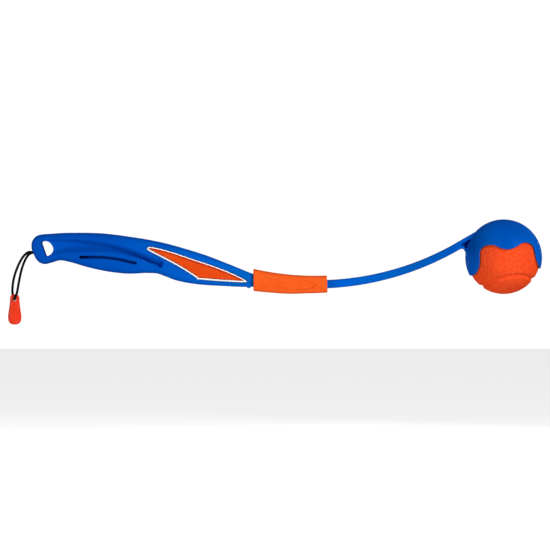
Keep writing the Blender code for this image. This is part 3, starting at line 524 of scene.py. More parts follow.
def prism(name, outline, low, high, high_outline=None):
    """An outline of (x, z) points drawn from y = low to y = high: numbers, or functions of x."""
    rings = []
    for shape, end in ((outline, low), (high_outline or outline, high)):
        rings.append([(x, end(x) if callable(end) else end, z) for x, z in clockwise(shape)])
    return loft(name, rings)


def turned(name, centre, direction, radii, length):
    """A turned piece about its centre: radii holds (share of the length, radius) from end to end."""
    turn = Vector((0, 0, 1)).rotation_difference(Vector(direction).normalized())
    rings = []
    for share, radius in radii:
        z = (share - 0.5) * length
        ring = [Vector((radius * math.cos(a), radius * math.sin(a), z)) for a in angles(ROD_STEPS)]
        rings.append([Vector(centre) + turn @ p for p in ring])
    return loft(name, rings)


def rod(name, centre, direction, radius, length):
    return turned(name, centre, direction, ((0, radius), (1, radius)), length)


def angles(steps):
    return [math.tau * i / steps for i in range(steps)]


def smooth_value(rows, x, column):
    """The value of a column of rows at x, on a smooth curve that never overshoots its rows."""
    xs = [row[0] for row in rows]
    ys = [row[column] for row in rows]
    slopes = [(ys[i + 1] - ys[i]) / (xs[i + 1] - xs[i]) for i in range(len(xs) - 1)]
    tangents = [slopes[0]]
    for before, after in zip(slopes, slopes[1:]):
        level = before * after <= 0
        tangents.append(0.0 if level else 2 * before * after / (before + after))
    tangents.append(slopes[-1])
    i = max(0, min(len(xs) - 2, sum(x >= v for v in xs) - 1))
    span = xs[i + 1] - xs[i]
    t = (x - xs[i]) / span
    return (
        (1 + 2 * t) * (1 - t) ** 2 * ys[i]
        + t * (1 - t) ** 2 * span * tangents[i]
        + t * t * (3 - 2 * t) * ys[i + 1]
        + t * t * (t - 1) * span * tangents[i + 1]
    )


def through(points, steps, closed):
    """A smooth curve through the points, with the given number of steps between neighbours."""
    points = [Vector(p) for p in points]
    count = len(points)
    made = []
    for i in range(count if closed else count - 1):
        if closed:
            a, b, c, d = (points[(i + k) % count] for k in (-1, 0, 1, 2))
        else:
            b, c = points[i], points[i + 1]
            a = points[i - 1] if i else b + b - c
            d = points[i + 2] if i + 2 < count else c + c - b
        for k in range(steps):
            t = k / steps
            made.append(
                0.5 * (2 * b + (c - a) * t + (2 * a - 5 * b + 4 * c - d) * t**2
                       + (3 * b - a - 3 * c + d) * t**3)
            )
    if not closed:
        made.append(points[-1])
    return made


def inset(outline, distance):
    """A clockwise outline moved inwards by a distance, point by point.

    A sharp corner moves by no more than distance / 0.6. Where a corner is too tight for the move, its points
    close up between their neighbours.
    """
    made = []
    count = len(outline)
    for i in range(count):
        before, here, after = (Vector(outline[(i + k) % count]) for k in (-1, 0, 1))
        first = (here - before).normalized()
        second = (after - here).normalized()
        inward = Vector((first.y + second.y, -first.x - second.x)).normalized()
        across = Vector((first.y, -first.x))
        made.append(here + inward * distance / max(inward.dot(across), 0.6))
    good = [i for i, p in enumerate(made) if away_from(p, outline) >= 0.97 * abs(distance)]
    for a, b in zip(good, good[1:] + [good[0] + count]):
        for i in range(a + 1, b):
            made[i % count] = made[a].lerp(made[b % count], (i - a) / (b - a))
    return made


def away_from(point, outline):
    """The least distance from a point to an outline's edges."""
    least = math.inf
    for a, b in zip(outline, list(outline[1:]) + [outline[0]]):
        along = Vector(b) - Vector(a)
        share = (point - Vector(a)).dot(along) / max(along.length_squared, 1e-18)
        least = min(least, (point - Vector(a) - along * min(max(share, 0.0), 1.0)).length)
    return least


def section(top, bottom, half_width, radius, side_steps=SIDE_STEPS):
    """(across, up) points round a rectangle with round corners, close together along its sides too.

    The corners never take up a whole side.
    """
    radius = min(radius, 0.98 * half_width, 0.49 * (top - bottom))
    corners = (
        (half_width - radius, top - radius, 0),
        (-half_width + radius, top - radius, 90),
        (-half_width + radius, bottom + radius, 180),
        (half_width - radius, bottom + radius, 270),
    )
    arcs = []
    for across, up, start in corners:
        turns = [math.radians(start + 90 * i / CORNER_STEPS) for i in range(CORNER_STEPS + 1)]
        arcs.append([Vector((across + radius * math.cos(a), up + radius * math.sin(a))) for a in turns])
    ring = []
    for arc, after in zip(arcs, arcs[1:] + arcs[:1]):
        ring += arc
        ring += [arc[-1].lerp(after[0], i / side_steps) for i in range(1, side_steps)]
    return ring


def moulded(name, body, steps, voxel, rounds):
    """Adds and cuts shapes in turn, then rounds every edge as a mould does: one clean mesh."""
    for i, (operation, tool) in enumerate(steps):
        step = body.modifiers.new(f"step {i}", "BOOLEAN")
        step.operation = operation
        step.solver = "EXACT"
        step.object = tool
        tool.hide_render = True
    remesh = body.modifiers.new("even mesh", "REMESH")
    remesh.mode = "VOXEL"
    remesh.voxel_size = voxel
    soften = body.modifiers.new("soft edges", "SMOOTH")
    soften.factor = 0.5
    soften.iterations = rounds
    bpy.context.view_layer.update()
    graph = bpy.context.evaluated_depsgraph_get()
    mesh = bpy.data.meshes.new_from_object(body.evaluated_get(graph))
    for tool in [tool for _, tool in steps] + [body]:
        bpy.data.objects.remove(tool, do_unlink=True)
    mesh.name = name
    mesh.shade_smooth()
    return scene_object(name, mesh)


def smooth_step(value):
    value = min(max(value, 0.0), 1.0)
    return value * value * (3 - 2 * value)


# Places on the handle and along the arm


def handle_point(share):
    along, up = share
    return Vector((HANDLE_START_X + along * HANDLE_LENGTH, HANDLE_BOTTOM_Z + up * HANDLE_HEIGHT))


def handle_share(x):
    return min(max((x - HANDLE_START_X) / HANDLE_LENGTH, HANDLE_SHARES[0][0]), 1.0)


def handle_edge_radius(share):
    """The round of the grip's edges, which narrows towards the squarer neck."""
    first, last = NECK_EDGE_SHARES
    narrowed = smooth_step((share - first) / (last - first))
    return HANDLE_EDGE_RADIUS + (NECK_EDGE_RADIUS - HANDLE_EDGE_RADIUS) * narrowed


def handle_sizes(share):
    """The handle's top, bottom, half thickness and edge radius at a share of its length."""
    top, bottom = (HANDLE_BOTTOM_Z + smooth_value(HANDLE_SHARES, share, i) * HANDLE_HEIGHT for i in (1, 2))
    half = smooth_value(HANDLE_SHARES, share, 3) * HANDLE_THICKNESS / 2
    return top, bottom, half, min(handle_edge_radius(share), HANDLE_EDGE_SHARE * half)


def handle_half_thickness(x):
    return handle_sizes(handle_share(x))[2]


def handle_side(x, z):
    """How far the handle's crowned side stands out from its middle plane."""
    top, bottom, half, radius = handle_sizes(handle_share(x))
    into_corner = min(max(z - top + radius, bottom + radius - z, 0.0), radius)
    lost = radius - math.sqrt(radius**2 - into_corner**2)
    return (half - lost) * crown(z, top, bottom)


def crown(z, top, bottom):
    """The share of its full thickness that the handle's slightly crowned side has at a height."""
    return 1.0 - HANDLE_CROWN_SHARE * ((2 * z - top - bottom) / (top - bottom)) ** 2


def on_curve(angle, up, across=0.0):
    """A point beside the arm's centre line: the angle is measured from straight below the curve's centre."""
    reach = ARM_CURVE_RADIUS - up
    return CURVE_CENTRE + Vector((reach * math.sin(angle), across, -reach * math.cos(angle)))


def arm_half_height(angle):
    share = (angle - ARM_ROOT_ANGLE) / (ARM_TIP_ANGLE - ARM_ROOT_ANGLE)
    return (ARM_ROOT_HEIGHT + (ARM_TIP_HEIGHT - ARM_ROOT_HEIGHT) * share) / 2


def turned_about_pin(point, angle):
    """A point after the arm has folded down by an angle."""
    away = point - PIN
    x = away.x * math.cos(angle) + away.z * math.sin(angle)
    z = -away.x * math.sin(angle) + away.z * math.cos(angle)
    return PIN + Vector((x, away.y, z))


# Handle


def handle_blank():
    """The plain grip before anything is cut from it, with its rings closest at its round end."""
    rings = []
    first = HANDLE_SHARES[0][0]
    for i in range(HANDLE_STATIONS + 1):
        share = first + (1.0 - first) * (i / HANDLE_STATIONS) ** 1.5
        x = HANDLE_START_X + share * HANDLE_LENGTH
        top, bottom, half, radius = handle_sizes(share)
        ring = section(top, bottom, half, radius)
        rings.append([(x, y * crown(z, top, bottom), z) for y, z in ring])
    return loft("handle_blank", rings)


def fork():
    """The handle's slim end, whose ears hold the pin on both sides of the arm's eye."""
    start = NECK_X - OVERRUN
    neck_top = HANDLE_BOTTOM_Z + HANDLE_SHARES[-1][1] * HANDLE_HEIGHT
    outline = [(start, HANDLE_BOTTOM_Z + GAP), (start, neck_top), (NECK_X, neck_top)]
    for i in range(EAR_STEPS + 1):
        angle = math.pi / 2 - math.pi * i / EAR_STEPS
        outline.append((PIN.x + EAR_RADIUS * math.cos(angle), PIN.z + EAR_RADIUS * math.sin(angle)))
    outline.append((NECK_X, HANDLE_BOTTOM_Z + GAP))
    return prism("fork", outline, -FORK_WIDTH / 2, FORK_WIDTH / 2)


def fold_slot():
    """The space between the ears, up to the edge of the arm's root when it is folded right back."""
    wall_x = PIN.x - EYE_RADIUS - GAP
    top = PIN.z + EAR_RADIUS + OVERRUN
    floor = HANDLE_BOTTOM_Z - 2 * OVERRUN
    roof = []
    angle = ARM_ROOT_ANGLE
    while True:
        edge = on_curve(angle, -arm_half_height(angle) - FOLD_GAP)
        folded = turned_about_pin(edge, FOLD_ANGLE)
        if folded.x < wall_x:
            roof.append((folded.x, folded.z))
        if folded.z < HANDLE_BOTTOM_Z - OVERRUN:
            break
        angle += FOLD_STEP
    slope = math.tan(math.pi - FOLD_ANGLE + ARM_ROOT_ANGLE)
    first_z = roof[0][1] + (wall_x - roof[0][0]) * slope
    outline = [(wall_x, top), (wall_x, first_z), *roof, (roof[-1][0], floor)]
    outline += [(PIN.x + 2 * EAR_RADIUS, floor), (PIN.x + 2 * EAR_RADIUS, top)]
    return prism("fold_slot", outline, -FORK_SLOT_WIDTH / 2, FORK_SLOT_WIDTH / 2)


def hang_hole():
    """The hole for a hook: round but for one straight side, towards the handle's end."""
    centre = handle_point(HANG_HOLE_CENTRE_SHARES)
    points = [centre + Vector((x * HANG_HOLE_LENGTH, z * HANG_HOLE_HEIGHT)) for x, z in HANG_HOLE_SHARES]
    return prism("hang_hole", through(points, HOLE_STEPS, closed=False), -HANDLE_THICKNESS, HANDLE_THICKNESS)


def channel(side):
    """The finger channel on one side, with drafted walls: shallow at the hang hole, deeper at the badge."""
    rim = clockwise(through([handle_point(s) for s in CHANNEL_SHARES], OUTLINE_STEPS, closed=True))
    first_x = min(p.x for p in rim)
    last_x = max(p.x for p in rim)
    first_y = handle_half_thickness(first_x) - CHANNEL_START_DEPTH
    last_y = handle_half_thickness(last_x) - CHANNEL_END_DEPTH

    def floor(x):
        return side * (first_y + (last_y - first_y) * (x - first_x) / (last_x - first_x))

    foot = inset(rim, CHANNEL_DRAFT)
    wide = inset(rim, -CHANNEL_DRAFT)
    if side < 0:
        return prism("channel_near", wide, -HANDLE_THICKNESS, floor, high_outline=foot)
    return prism("channel_far", foot, floor, HANDLE_THICKNESS, high_outline=wide)


def grip_slot(side):
    """The narrow slot under the channel on one side: a band of even width with round ends."""
    line = through([handle_point(s) for s in SLOT_SHARES], OUTLINE_STEPS, closed=False)
    half = SLOT_WIDTH / 2
    upper, lower = [], []
    for i, here in enumerate(line):
        ahead = (line[min(i + 1, len(line) - 1)] - line[max(i - 1, 0)]).normalized()
        upper.append(here + half * Vector((-ahead.y, ahead.x)))
        lower.append(here + half * Vector((ahead.y, -ahead.x)))
    caps = []
    for end, ahead in ((line[-1], line[-1] - line[-2]), (line[0], line[0] - line[1])):
        start = math.atan2(ahead.y, ahead.x)
        turns = [start + math.radians(a) for a in SLOT_END_DEGREES]
        caps.append([end + half * Vector((math.cos(a), math.sin(a))) for a in turns])
    outline = upper + caps[0] + lower[::-1] + caps[1]
    deep = HANDLE_THICKNESS / 2 - SLOT_DEPTH
    ends = (-HANDLE_THICKNESS, -deep) if side < 0 else (deep, HANDLE_THICKNESS)
    return prism("grip_slot", outline, *ends)


def badge_outline(margin):
    """The badge's outline with round corners, moved inwards by a margin."""
    points = clockwise([handle_point(s) for s in BADGE_SHARES])
    return inset(through(points, OUTLINE_STEPS, closed=True), margin)


def badge_floor(depth):
    """A flat sloping face under the badge: its y at x, at a depth below the handle's near side."""
    first, last = (handle_point(BADGE_SHARES[i]).x for i in (0, 6))
    first_y, last_y = (handle_half_thickness(x) for x in (first, last))
    return lambda x: -(first_y + (last_y - first_y) * (x - first) / (last - first)) + depth


def badge_recess():
    """The sunk place that the badge sits in, with a fine gap all round."""
    outline = badge_outline(-BADGE_RECESS_MARGIN)
    return prism("badge_recess", outline, -HANDLE_THICKNESS, badge_floor(RECESS_DEPTH))


def cord_hole():
    """The hole in the handle's end that lets both strands of the cord out side by side."""
    z = handle_point((0.0, CORD_HOLE_UP_SHARE)).y
    half = CORD_RADIUS + GAP
    rings = []
    for x in (HANDLE_START_X - OVERRUN, HANDLE_START_X + OVERRUN + GAP):
        ring = section(half, -half - CORD_DROP, half + CORD_SPREAD, half)
        rings.append([(x, across, z + up) for across, up in ring])
    return loft("cord_hole", rings)


def knot_seat():
    """The wider room behind that hole, which the knot can't leave."""
    z = handle_point((0.0, CORD_HOLE_UP_SHARE)).y
    length = KNOT_LENGTH + OVERRUN
    centre = (HANDLE_START_X + OVERRUN + length / 2, 0.0, z)
    return rod("knot_seat", centre, ALONG, KNOT_RADIUS + GAP, length)


def make_handle():
    bump_at = (NECK_X - STOP_BUMP_SETBACK, 0.0, HANDLE_BOTTOM_Z + STOP_BUMP_RISE)
    bump = rod("bump", bump_at, ACROSS, STOP_BUMP_RADIUS, FORK_WIDTH - 2 * GAP)
    bore = rod("bore", PIN, ACROSS, PIN_RADIUS + GAP, 2 * FORK_WIDTH)
    steps = [("UNION", fork()), ("UNION", bump), ("DIFFERENCE", fold_slot()), ("DIFFERENCE", bore)]
    for side in (-1, 1):
        steps += [("DIFFERENCE", channel(side)), ("DIFFERENCE", grip_slot(side))]
    steps += [("DIFFERENCE", tool) for tool in (hang_hole(), badge_recess(), knot_seat(), cord_hole())]
    made = moulded("grip_moulding", handle_blank(), steps, LARGE_VOXEL, 3)
    place(made, "handle", blue_polypropylene(), "handle")


# Badge


def badge_layer(name, loops, finish, node_name):
    """A moulded plate in the badge's outline: loops of (margin, depth, shift up) from its back to its face.

    Depths are below the handle's crowned side, but None is the recess's flat floor, which the back sits on.
    """
    floor = badge_floor(RECESS_DEPTH - GAP)
    rings = []
    for margin, depth, shift in loops:
        rim = [p + Vector((0.0, shift)) for p in badge_outline(margin)]
        ys = [floor(p.x) if depth is None else -handle_side(p.x, p.y) + depth for p in rim]
        rings.append([(p.x, y, p.y) for p, y in zip(rim, ys)])
    count = len(rings[0])
    points = [p for ring in rings for p in ring]
    faces = ring_faces(len(rings), count)
    faces.append(tuple(range(count)))
    start = len(points) - count
    rim = [Vector((p[0], p[2])) for p in points[start:]]
    kept = inset(rim, BADGE_GRID / 3)
    inner = []
    left, low = (min(p[i] for p in rim) for i in (0, 1))
    for i in range(int((max(p.x for p in rim) - left) / BADGE_GRID) + 1):
        for k in range(int((max(p.y for p in rim) - low) / BADGE_GRID) + 1):
            spot = Vector((left + i * BADGE_GRID, low + k * BADGE_GRID))
            if inside(spot, kept):
                inner.append(spot)
    edges = [(i, (i + 1) % count) for i in range(count)]
    flat, _, triangles, sources, *_ = delaunay_2d_cdt(rim + inner, edges, [], 1, 1e-9)
    depth = loops[-1][1]
    place_of = []
    for spot, source in zip(flat, sources):
        on_rim = [i for i in source if i < count]
        if on_rim:
            place_of.append(start + on_rim[0])
        else:
            place_of.append(len(points))
            points.append((spot.x, -handle_side(spot.x, spot.y) + depth, spot.y))
    faces += [tuple(place_of[i] for i in f) for f in triangles]
    made = mesh_object(name, points, faces)
    close_skin(made, CRISP_ANGLE, join_within=0.002 * MM)
    place(made, "handle", finish, node_name)


def inside(point, outline):
    """Whether a point lies inside an outline, by counting the edges to its right."""
    hits = 0
    for a, b in zip(outline, outline[1:] + outline[:1]):
        if (a.y > point.y) != (b.y > point.y):
            hits += point.x < a.x + (point.y - a.y) * (b.x - a.x) / (b.y - a.y)
    return hits % 2 == 1


def close_skin(made, crisp_angle=None, join_within=None):
    """Joins points that neighbouring faces share, turns the faces outwards and shades them smooth."""
    work = bmesh.new()
    work.from_mesh(made.data)
    if join_within:
        bmesh.ops.remove_doubles(work, verts=work.verts, dist=join_within)
    bmesh.ops.recalc_face_normals(work, faces=work.faces)
    work.to_mesh(made.data)
    work.free()
    made.data.shade_smooth()
    if crisp_angle:
        made.data.set_sharp_from_angle(angle=crisp_angle)


def make_badge():
    """A white tray whose rounded rim stands round an orange panel that lies lower in it.

    soft is the radius of the round edges. up is how far the rim's inner outline is moved up, which makes the
    rim wider below the panel than above it.
    """
    soft = BADGE_ROUND
    up = BADGE_EDGE_SHIFT
    tray = (
        (0.0, None, 0.0),
        (0.0, BADGE_SINK + soft, 0.0),
        (0.3 * soft, BADGE_SINK + 0.3 * soft, 0.0),
        (soft, BADGE_SINK, 0.0),
        (BADGE_EDGE - soft, BADGE_SINK, up),
        (BADGE_EDGE - 0.3 * soft, BADGE_SINK + 0.3 * soft, up),
        (BADGE_EDGE, BADGE_SINK + soft, up),
        (BADGE_EDGE, TRAY_FLOOR_DEPTH, up),
    )
    badge_layer("badge_white_layer", tray, white_vinyl(), "badge_backing")
    edge = BADGE_EDGE + GAP / 3
    moat = edge + BADGE_MOAT_WIDTH
    moat_floor = PANEL_FACE_DEPTH + BADGE_MOAT_DEPTH
    panel = (
        (edge, TRAY_FLOOR_DEPTH - GAP / 2, up),
        (edge, moat_floor, up),
        (moat, moat_floor, BADGE_FACE_SHIFT),
        (moat + 0.7 * soft, PANEL_FACE_DEPTH + soft, BADGE_FACE_SHIFT),
        (moat + 2.0 * soft, PANEL_FACE_DEPTH, BADGE_FACE_SHIFT),
    )
    badge_layer("badge_orange_layer", panel, orange_vinyl(), "badge_panel")


# Hinge pin


def make_pin():
    end = PIN_CHAMFER / PIN_LENGTH
    small = PIN_RADIUS - PIN_CHAMFER
    radii = ((0, small), (end, PIN_RADIUS), (1 - end, PIN_RADIUS), (1, small))
    made = turned("pin_steel", PIN, ACROSS, radii, PIN_LENGTH)
    close_skin(made, PIN_CRISP_ANGLE)
    place(made, "handle", drawn_steel(), "hinge_pin")


# Arm and cup


def arm_beam():
    rings = []
    for i in range(ARM_STATIONS + 1):
        angle = ARM_ROOT_ANGLE + (ARM_TIP_ANGLE - ARM_ROOT_ANGLE) * i / ARM_STATIONS
        half = arm_half_height(angle)
        ring = section(half, -half, ARM_WIDTH / 2, ARM_EDGE_RADIUS)
        rings.append([on_curve(angle, up, across) for across, up in ring])
    return loft("beam", rings)


def arm_heel():
    """The square corner behind the eye that stops the arm against the end of the fork's slot."""
    rise = math.sqrt((EAR_RADIUS - GAP / 2) ** 2 - EYE_RADIUS**2)
    left = PIN.x - EYE_RADIUS
    outline = [(left, PIN.z), (left, PIN.z + rise), (PIN.x, PIN.z + rise), (PIN.x, PIN.z)]
    return prism("heel", outline, -ARM_WIDTH / 2, ARM_WIDTH / 2)


def globe(name, radius):
    """A ball-shaped solid round the cup's centre."""
    rings = []
    for angle in angles(GLOBE_STEPS)[1:GLOBE_STEPS // 2]:
        reach, up = radius * math.sin(angle), radius * math.cos(angle)
        ring = [Vector((reach * math.cos(a), reach * math.sin(a), up)) for a in angles(GLOBE_STEPS)]
        rings.append([CUP_CENTRE + p for p in ring])
    return loft(name, rings[::-1])


def cup_point(share):
    return Vector((CUP_CENTRE.x, CUP_CENTRE.z)) + CUP_OUTER_RADIUS * Vector(share)


def cup_opening():
    """All that is cut away below the cup's edge, right across it."""
    curved = through([cup_point(share) for share in CUP_EDGE_SHARES], OUTLINE_STEPS, closed=False)
    far = 2 * CUP_OUTER_RADIUS
    left = [(CUP_CENTRE.x - far, CUP_CENTRE.z - far), (CUP_CENTRE.x - far, curved[0].y)]
    right = [(CUP_CENTRE.x + far, curved[-1].y), (CUP_CENTRE.x + far, CUP_CENTRE.z - far)]
    return prism("cup_opening", left + curved + right, -far, far)


def gusset():
    """The web that runs the arm's tip into the cup."""
    half = ARM_TIP_HEIGHT / 2
    back = ARM_TIP_ANGLE - GUSSET_BACK_ANGLE
    ahead = Vector((math.cos(ARM_TIP_ANGLE), 0.0, math.sin(ARM_TIP_ANGLE)))
    top = on_curve(back, half)
    under = on_curve(back, -half)
    run_on = top + ahead * CUP_OUTER_RADIUS
    outline = [(p.x, p.z) for p in (top, run_on, CUP_CENTRE)]
    outline += [cup_point(share) for share in GUSSET_UNDER_SHARES]
    outline.append((under.x, under.z))
    return prism("gusset", outline, -ARM_WIDTH / 2, ARM_WIDTH / 2)


def gusset_pocket(side):
    """The pocket in one side of the gusset, which leaves only a thin web in its middle."""
    ends = (-ARM_WIDTH, -GUSSET_WEB / 2) if side < 0 else (GUSSET_WEB / 2, ARM_WIDTH)
    return prism("pocket", [cup_point(share) for share in GUSSET_POCKET_SHARES], *ends)


def make_arm():
    eye = rod("eye", PIN, ACROSS, EYE_RADIUS, ARM_WIDTH)
    bore = rod("bore", PIN, ACROSS, PIN_RADIUS + GAP, 2 * ARM_WIDTH)
    steps = [("UNION", eye), ("UNION", arm_heel()), ("UNION", gusset())]
    steps += [("DIFFERENCE", gusset_pocket(side)) for side in (-1, 1)]
    steps += [
        ("UNION", globe("outside", CUP_OUTER_RADIUS)),
        ("DIFFERENCE", globe("inside", CUP_INNER_RADIUS)),
        ("DIFFERENCE", cup_opening()),
        ("DIFFERENCE", bore),
    ]
    made = moulded("arm_moulding", arm_beam(), steps, SHELL_VOXEL, 3)
    place(made, "arm", blue_polypropylene(), "throwing_arm")


# Ball


def seam_points(count):
    """Points of the groove's curve on a unit ball: the two-lobed curve of a ball's seam."""
    lobe = SEAM_LOBE_SHARE
    wide = 1.0 - lobe
    made = []
    for t in angles(count):
        point = Vector(
            (
                wide * math.cos(t) + lobe * math.cos(3 * t),
                wide * math.sin(t) - lobe * math.sin(3 * t),
                2 * math.sqrt(wide * lobe) * math.sin(2 * t),
            )
        )
        point.rotate(SEAM_TURN)
        made.append(point.normalized())
    return made


def make_ball():
    """A ball of six curved grids, pressed in along the groove with soft shoulders.

    The way to the seam is worked out for a part of the points at a time, which spares memory.
    """
    line = np.linspace(-math.pi / 4, math.pi / 4, BALL_GRID + 1)
    a, b = (g.ravel() for g in np.meshgrid(np.tan(line), np.tan(line), indexing="ij"))
    one = np.ones_like(a)
    sides = [(one, a, b), (-one, -a, b), (-a, one, b), (a, -one, b), (-b, a, one), (b, a, -one)]
    directions = np.concatenate([np.stack(s, 1) for s in sides])
    directions /= np.linalg.norm(directions, axis=1)[:, None]
    seam = np.array(seam_points(SEAM_STEPS))
    nearest = np.concatenate([(part @ seam.T).max(1) for part in np.array_split(directions, 60)])
    away = np.arccos(np.clip(nearest, -1, 1)) * BALL_RADIUS
    share = np.clip(away / GROOVE_HALF_WIDTH, 0, 1)
    reach = BALL_RADIUS - GROOVE_DEPTH * np.cos(share * math.pi / 2) ** 2
    pebbles = [noise.noise(Vector(d) * (BALL_RADIUS / PEBBLE_WIDTH)) for d in directions.tolist()]
    height = PEBBLE_HEIGHT * (PEBBLE_IN_GROOVE_SHARE + (1 - PEBBLE_IN_GROOVE_SHARE) * share)
    reach -= height * np.clip(0.5 + np.array(pebbles), 0, 1)
    points = directions * reach[:, None] + np.array(CUP_CENTRE)
    side = BALL_GRID + 1
    faces = []
    for n in range(6):
        for i in range(BALL_GRID):
            for j in range(BALL_GRID):
                k = n * side * side + i * side + j
                faces.append((k, k + side, k + side + 1, k + 1))
    made = mesh_object("grooved_ball", points.tolist(), faces)
    close_skin(made, join_within=0.01 * MM)
    place(made, "ball", ball_rubber(), "ball")


# Sleeve


def sleeve_angle(length):
    return ARM_ROOT_ANGLE + (length - SLEEVE_OVER_NECK) / ARM_CURVE_RADIUS


def sleeve_drop(share):
    come = smooth_value(SLEEVE_DROP_SHARES, share, 1)
    return SLEEVE_MOUTH_DROP + (SLEEVE_END_DROP - SLEEVE_MOUTH_DROP) * come


def oval_sink(length, up):
    """How far the sleeve's side is sunk for the oval pad, with a short slope all round it."""
    middle = (SLEEVE_TOP - sleeve_drop(GRIP_OVAL_PLACE_SHARE)) / 2
    half_length, half_height = GRIP_OVAL_LENGTH / 2, GRIP_OVAL_HEIGHT / 2
    along = (length - SLEEVE_LENGTH * GRIP_OVAL_PLACE_SHARE) / half_length
    high = (up - middle) / half_height
    reach = math.hypot(along, high)
    steepness = math.hypot(along / half_length, high / half_height) / max(reach, 1e-6)
    return GRIP_OVAL_DEPTH * smooth_step((1.0 - reach) / max(steepness, 1.0) / GRIP_OVAL_SLOPE)


def rib_rise(length, below):
    """The short row of ribs on the sleeve's upper edges, which fade out at both ends of each rib.

    below is how far a point lies under the sleeve's top, as a share of the edge's radius.
    """
    first, last = RIBS_LENGTH
    if not first < length < last:
        return 0.0
    fade = smooth_step(below / RIB_FADE_SHARE) * smooth_step((RIB_DROP_SHARE - below) / RIB_FADE_SHARE)
    return RIB_HEIGHT * (0.5 - 0.5 * math.cos(math.tau * (length - first) / RIB_PITCH)) * fade


def sleeve_outer_ring(length):
    """The sleeve's outside at a length from its mouth: upright there, and square to the arm at its end."""
    to_end = min(length, SLEEVE_LENGTH - length, SLEEVE_LIP_RADIUS)
    lip = SLEEVE_LIP_RADIUS
    shrink = lip - math.sqrt(max(lip**2 - (lip - to_end) ** 2, 0.0))
    share = length / SLEEVE_LENGTH
    angle = sleeve_angle(length)
    top, bottom, half = SLEEVE_TOP - shrink, -sleeve_drop(share) + shrink, SLEEVE_WIDTH / 2 - shrink
    lean = (1.0 - share) * math.tan(angle) / ARM_CURVE_RADIUS
    ring = []
    for across, up in section(top, bottom, half, SLEEVE_EDGE_RADIUS, SLEEVE_SIDE_STEPS):
        if abs(across) > SLEEVE_WIDTH / 2 - SLEEVE_EDGE_RADIUS / 2:
            across -= math.copysign(oval_sink(length, up), across)
        across += math.copysign(rib_rise(length, (top - up) / SLEEVE_EDGE_RADIUS), across)
        ring.append(on_curve(angle + up * lean, up, across))
    return ring


def sleeve_bore_ring(length, top, bottom, half):
    """The sleeve's bore at a length from its mouth: upright there, and square to the arm past the neck."""
    angle = sleeve_angle(length)
    upright = max(1.0 - length / SLEEVE_LENGTH, 0.0) if length < SLEEVE_OVER_NECK else 0.0
    lean = upright * math.tan(angle) / ARM_CURVE_RADIUS
    around = section(top, bottom, half, 2 * GAP, SLEEVE_SIDE_STEPS)
    return [on_curve(angle + up * lean, up, across) for across, up in around]


def make_sleeve():
    """The sleeve as one skin: along its outside, round its end and back along its bore."""
    lip = SLEEVE_LIP_RADIUS
    turns = [math.pi / 2 * i / SLEEVE_LIP_STEPS for i in range(SLEEVE_LIP_STEPS + 1)]
    ends = [lip * (1 - math.cos(turn)) for turn in turns]
    straight = SLEEVE_LENGTH - 2 * lip
    lengths = ends + [lip + straight * i / SLEEVE_STATIONS for i in range(1, SLEEVE_STATIONS)]
    lengths += [SLEEVE_LENGTH - e for e in reversed(ends)]
    rings = [sleeve_outer_ring(length) for length in lengths]
    arm_half = ARM_ROOT_HEIGHT / 2 + GAP
    for i in range(BORE_STATIONS + 1):
        length = SLEEVE_LENGTH - (SLEEVE_LENGTH - SLEEVE_OVER_NECK - SLEEVE_STEP) * i / BORE_STATIONS
        rings.append(sleeve_bore_ring(length, arm_half, -arm_half, ARM_WIDTH / 2 + GAP))
    neck_top = EAR_RADIUS - PIN_BELOW_ARM_LINE + GAP
    neck_bottom = EAR_RADIUS + PIN_BELOW_ARM_LINE + SLEEVE_NECK_CLEARANCE
    mouth_bottom = SLEEVE_MOUTH_DROP - 2 * SLEEVE_LIP_RADIUS
    for i in range(MOUTH_STATIONS + 1):
        length = (SLEEVE_OVER_NECK + SLEEVE_STEP) * (1 - i / MOUTH_STATIONS)
        near_mouth = max(1 - length / SLEEVE_OVER_NECK, 0.0)
        bottom = neck_bottom + (mouth_bottom - neck_bottom) * near_mouth
        rings.append(sleeve_bore_ring(length, neck_top, -bottom, FORK_WIDTH / 2 + GAP))
    count = len(rings[0])
    points = [p for ring in rings for p in ring]
    made = mesh_object("rubber_sleeve", points, ring_faces(len(rings), count, closed=True))
    close_skin(made, CRISP_ANGLE)
    place(made, "sleeve", orange_rubber(), "lock_sleeve")


# Cord, knot and tab


def cord_route():
    """The cord's middle line from knot to knot, in even steps, and its length."""
    z = handle_point((0.0, CORD_HOLE_UP_SHARE)).y
    start_x = HANDLE_START_X + OVERRUN - GAP
    route = [(start_x, CORD_SPREAD, z), (HANDLE_START_X, CORD_SPREAD, z), *CORD_FAR_STRAND]
    low = z - CORD_DROP
    route += [*CORD_NEAR_STRAND, (HANDLE_START_X, -CORD_SPREAD, low), (start_x, -CORD_SPREAD, z)]
    fine = through(route, CORD_CURVE_STEPS, closed=False)
    reach = [0.0]
    for a, b in zip(fine, fine[1:]):
        reach.append(reach[-1] + (b - a).length)
    points = []
    k = 0
    for i in range(CORD_STATIONS + 1):
        want = reach[-1] * i / CORD_STATIONS
        while k < len(fine) - 2 and reach[k + 1] < want:
            k += 1
        points.append(fine[k].lerp(fine[k + 1], (want - reach[k]) / (reach[k + 1] - reach[k])))
    return points, reach[-1]


def plied_radius(turn, radius):
    """How far the outline of the twisted plies stands out at a turn about the cord's middle.

    The plies are pressed flat against each other, so the furrows between them are only part as deep.
    """
    ply = radius / (1 + 2 / math.sqrt(3))
    off = radius - ply
    spread = math.tau / CORD_PLIES
    near = (turn + spread / 2) % spread - spread / 2
    round_ply = off * math.cos(near) + math.sqrt(max(ply**2 - (off * math.sin(near)) ** 2, 0.0))
    return radius + CORD_FURROW_SHARE * (round_ply - radius)


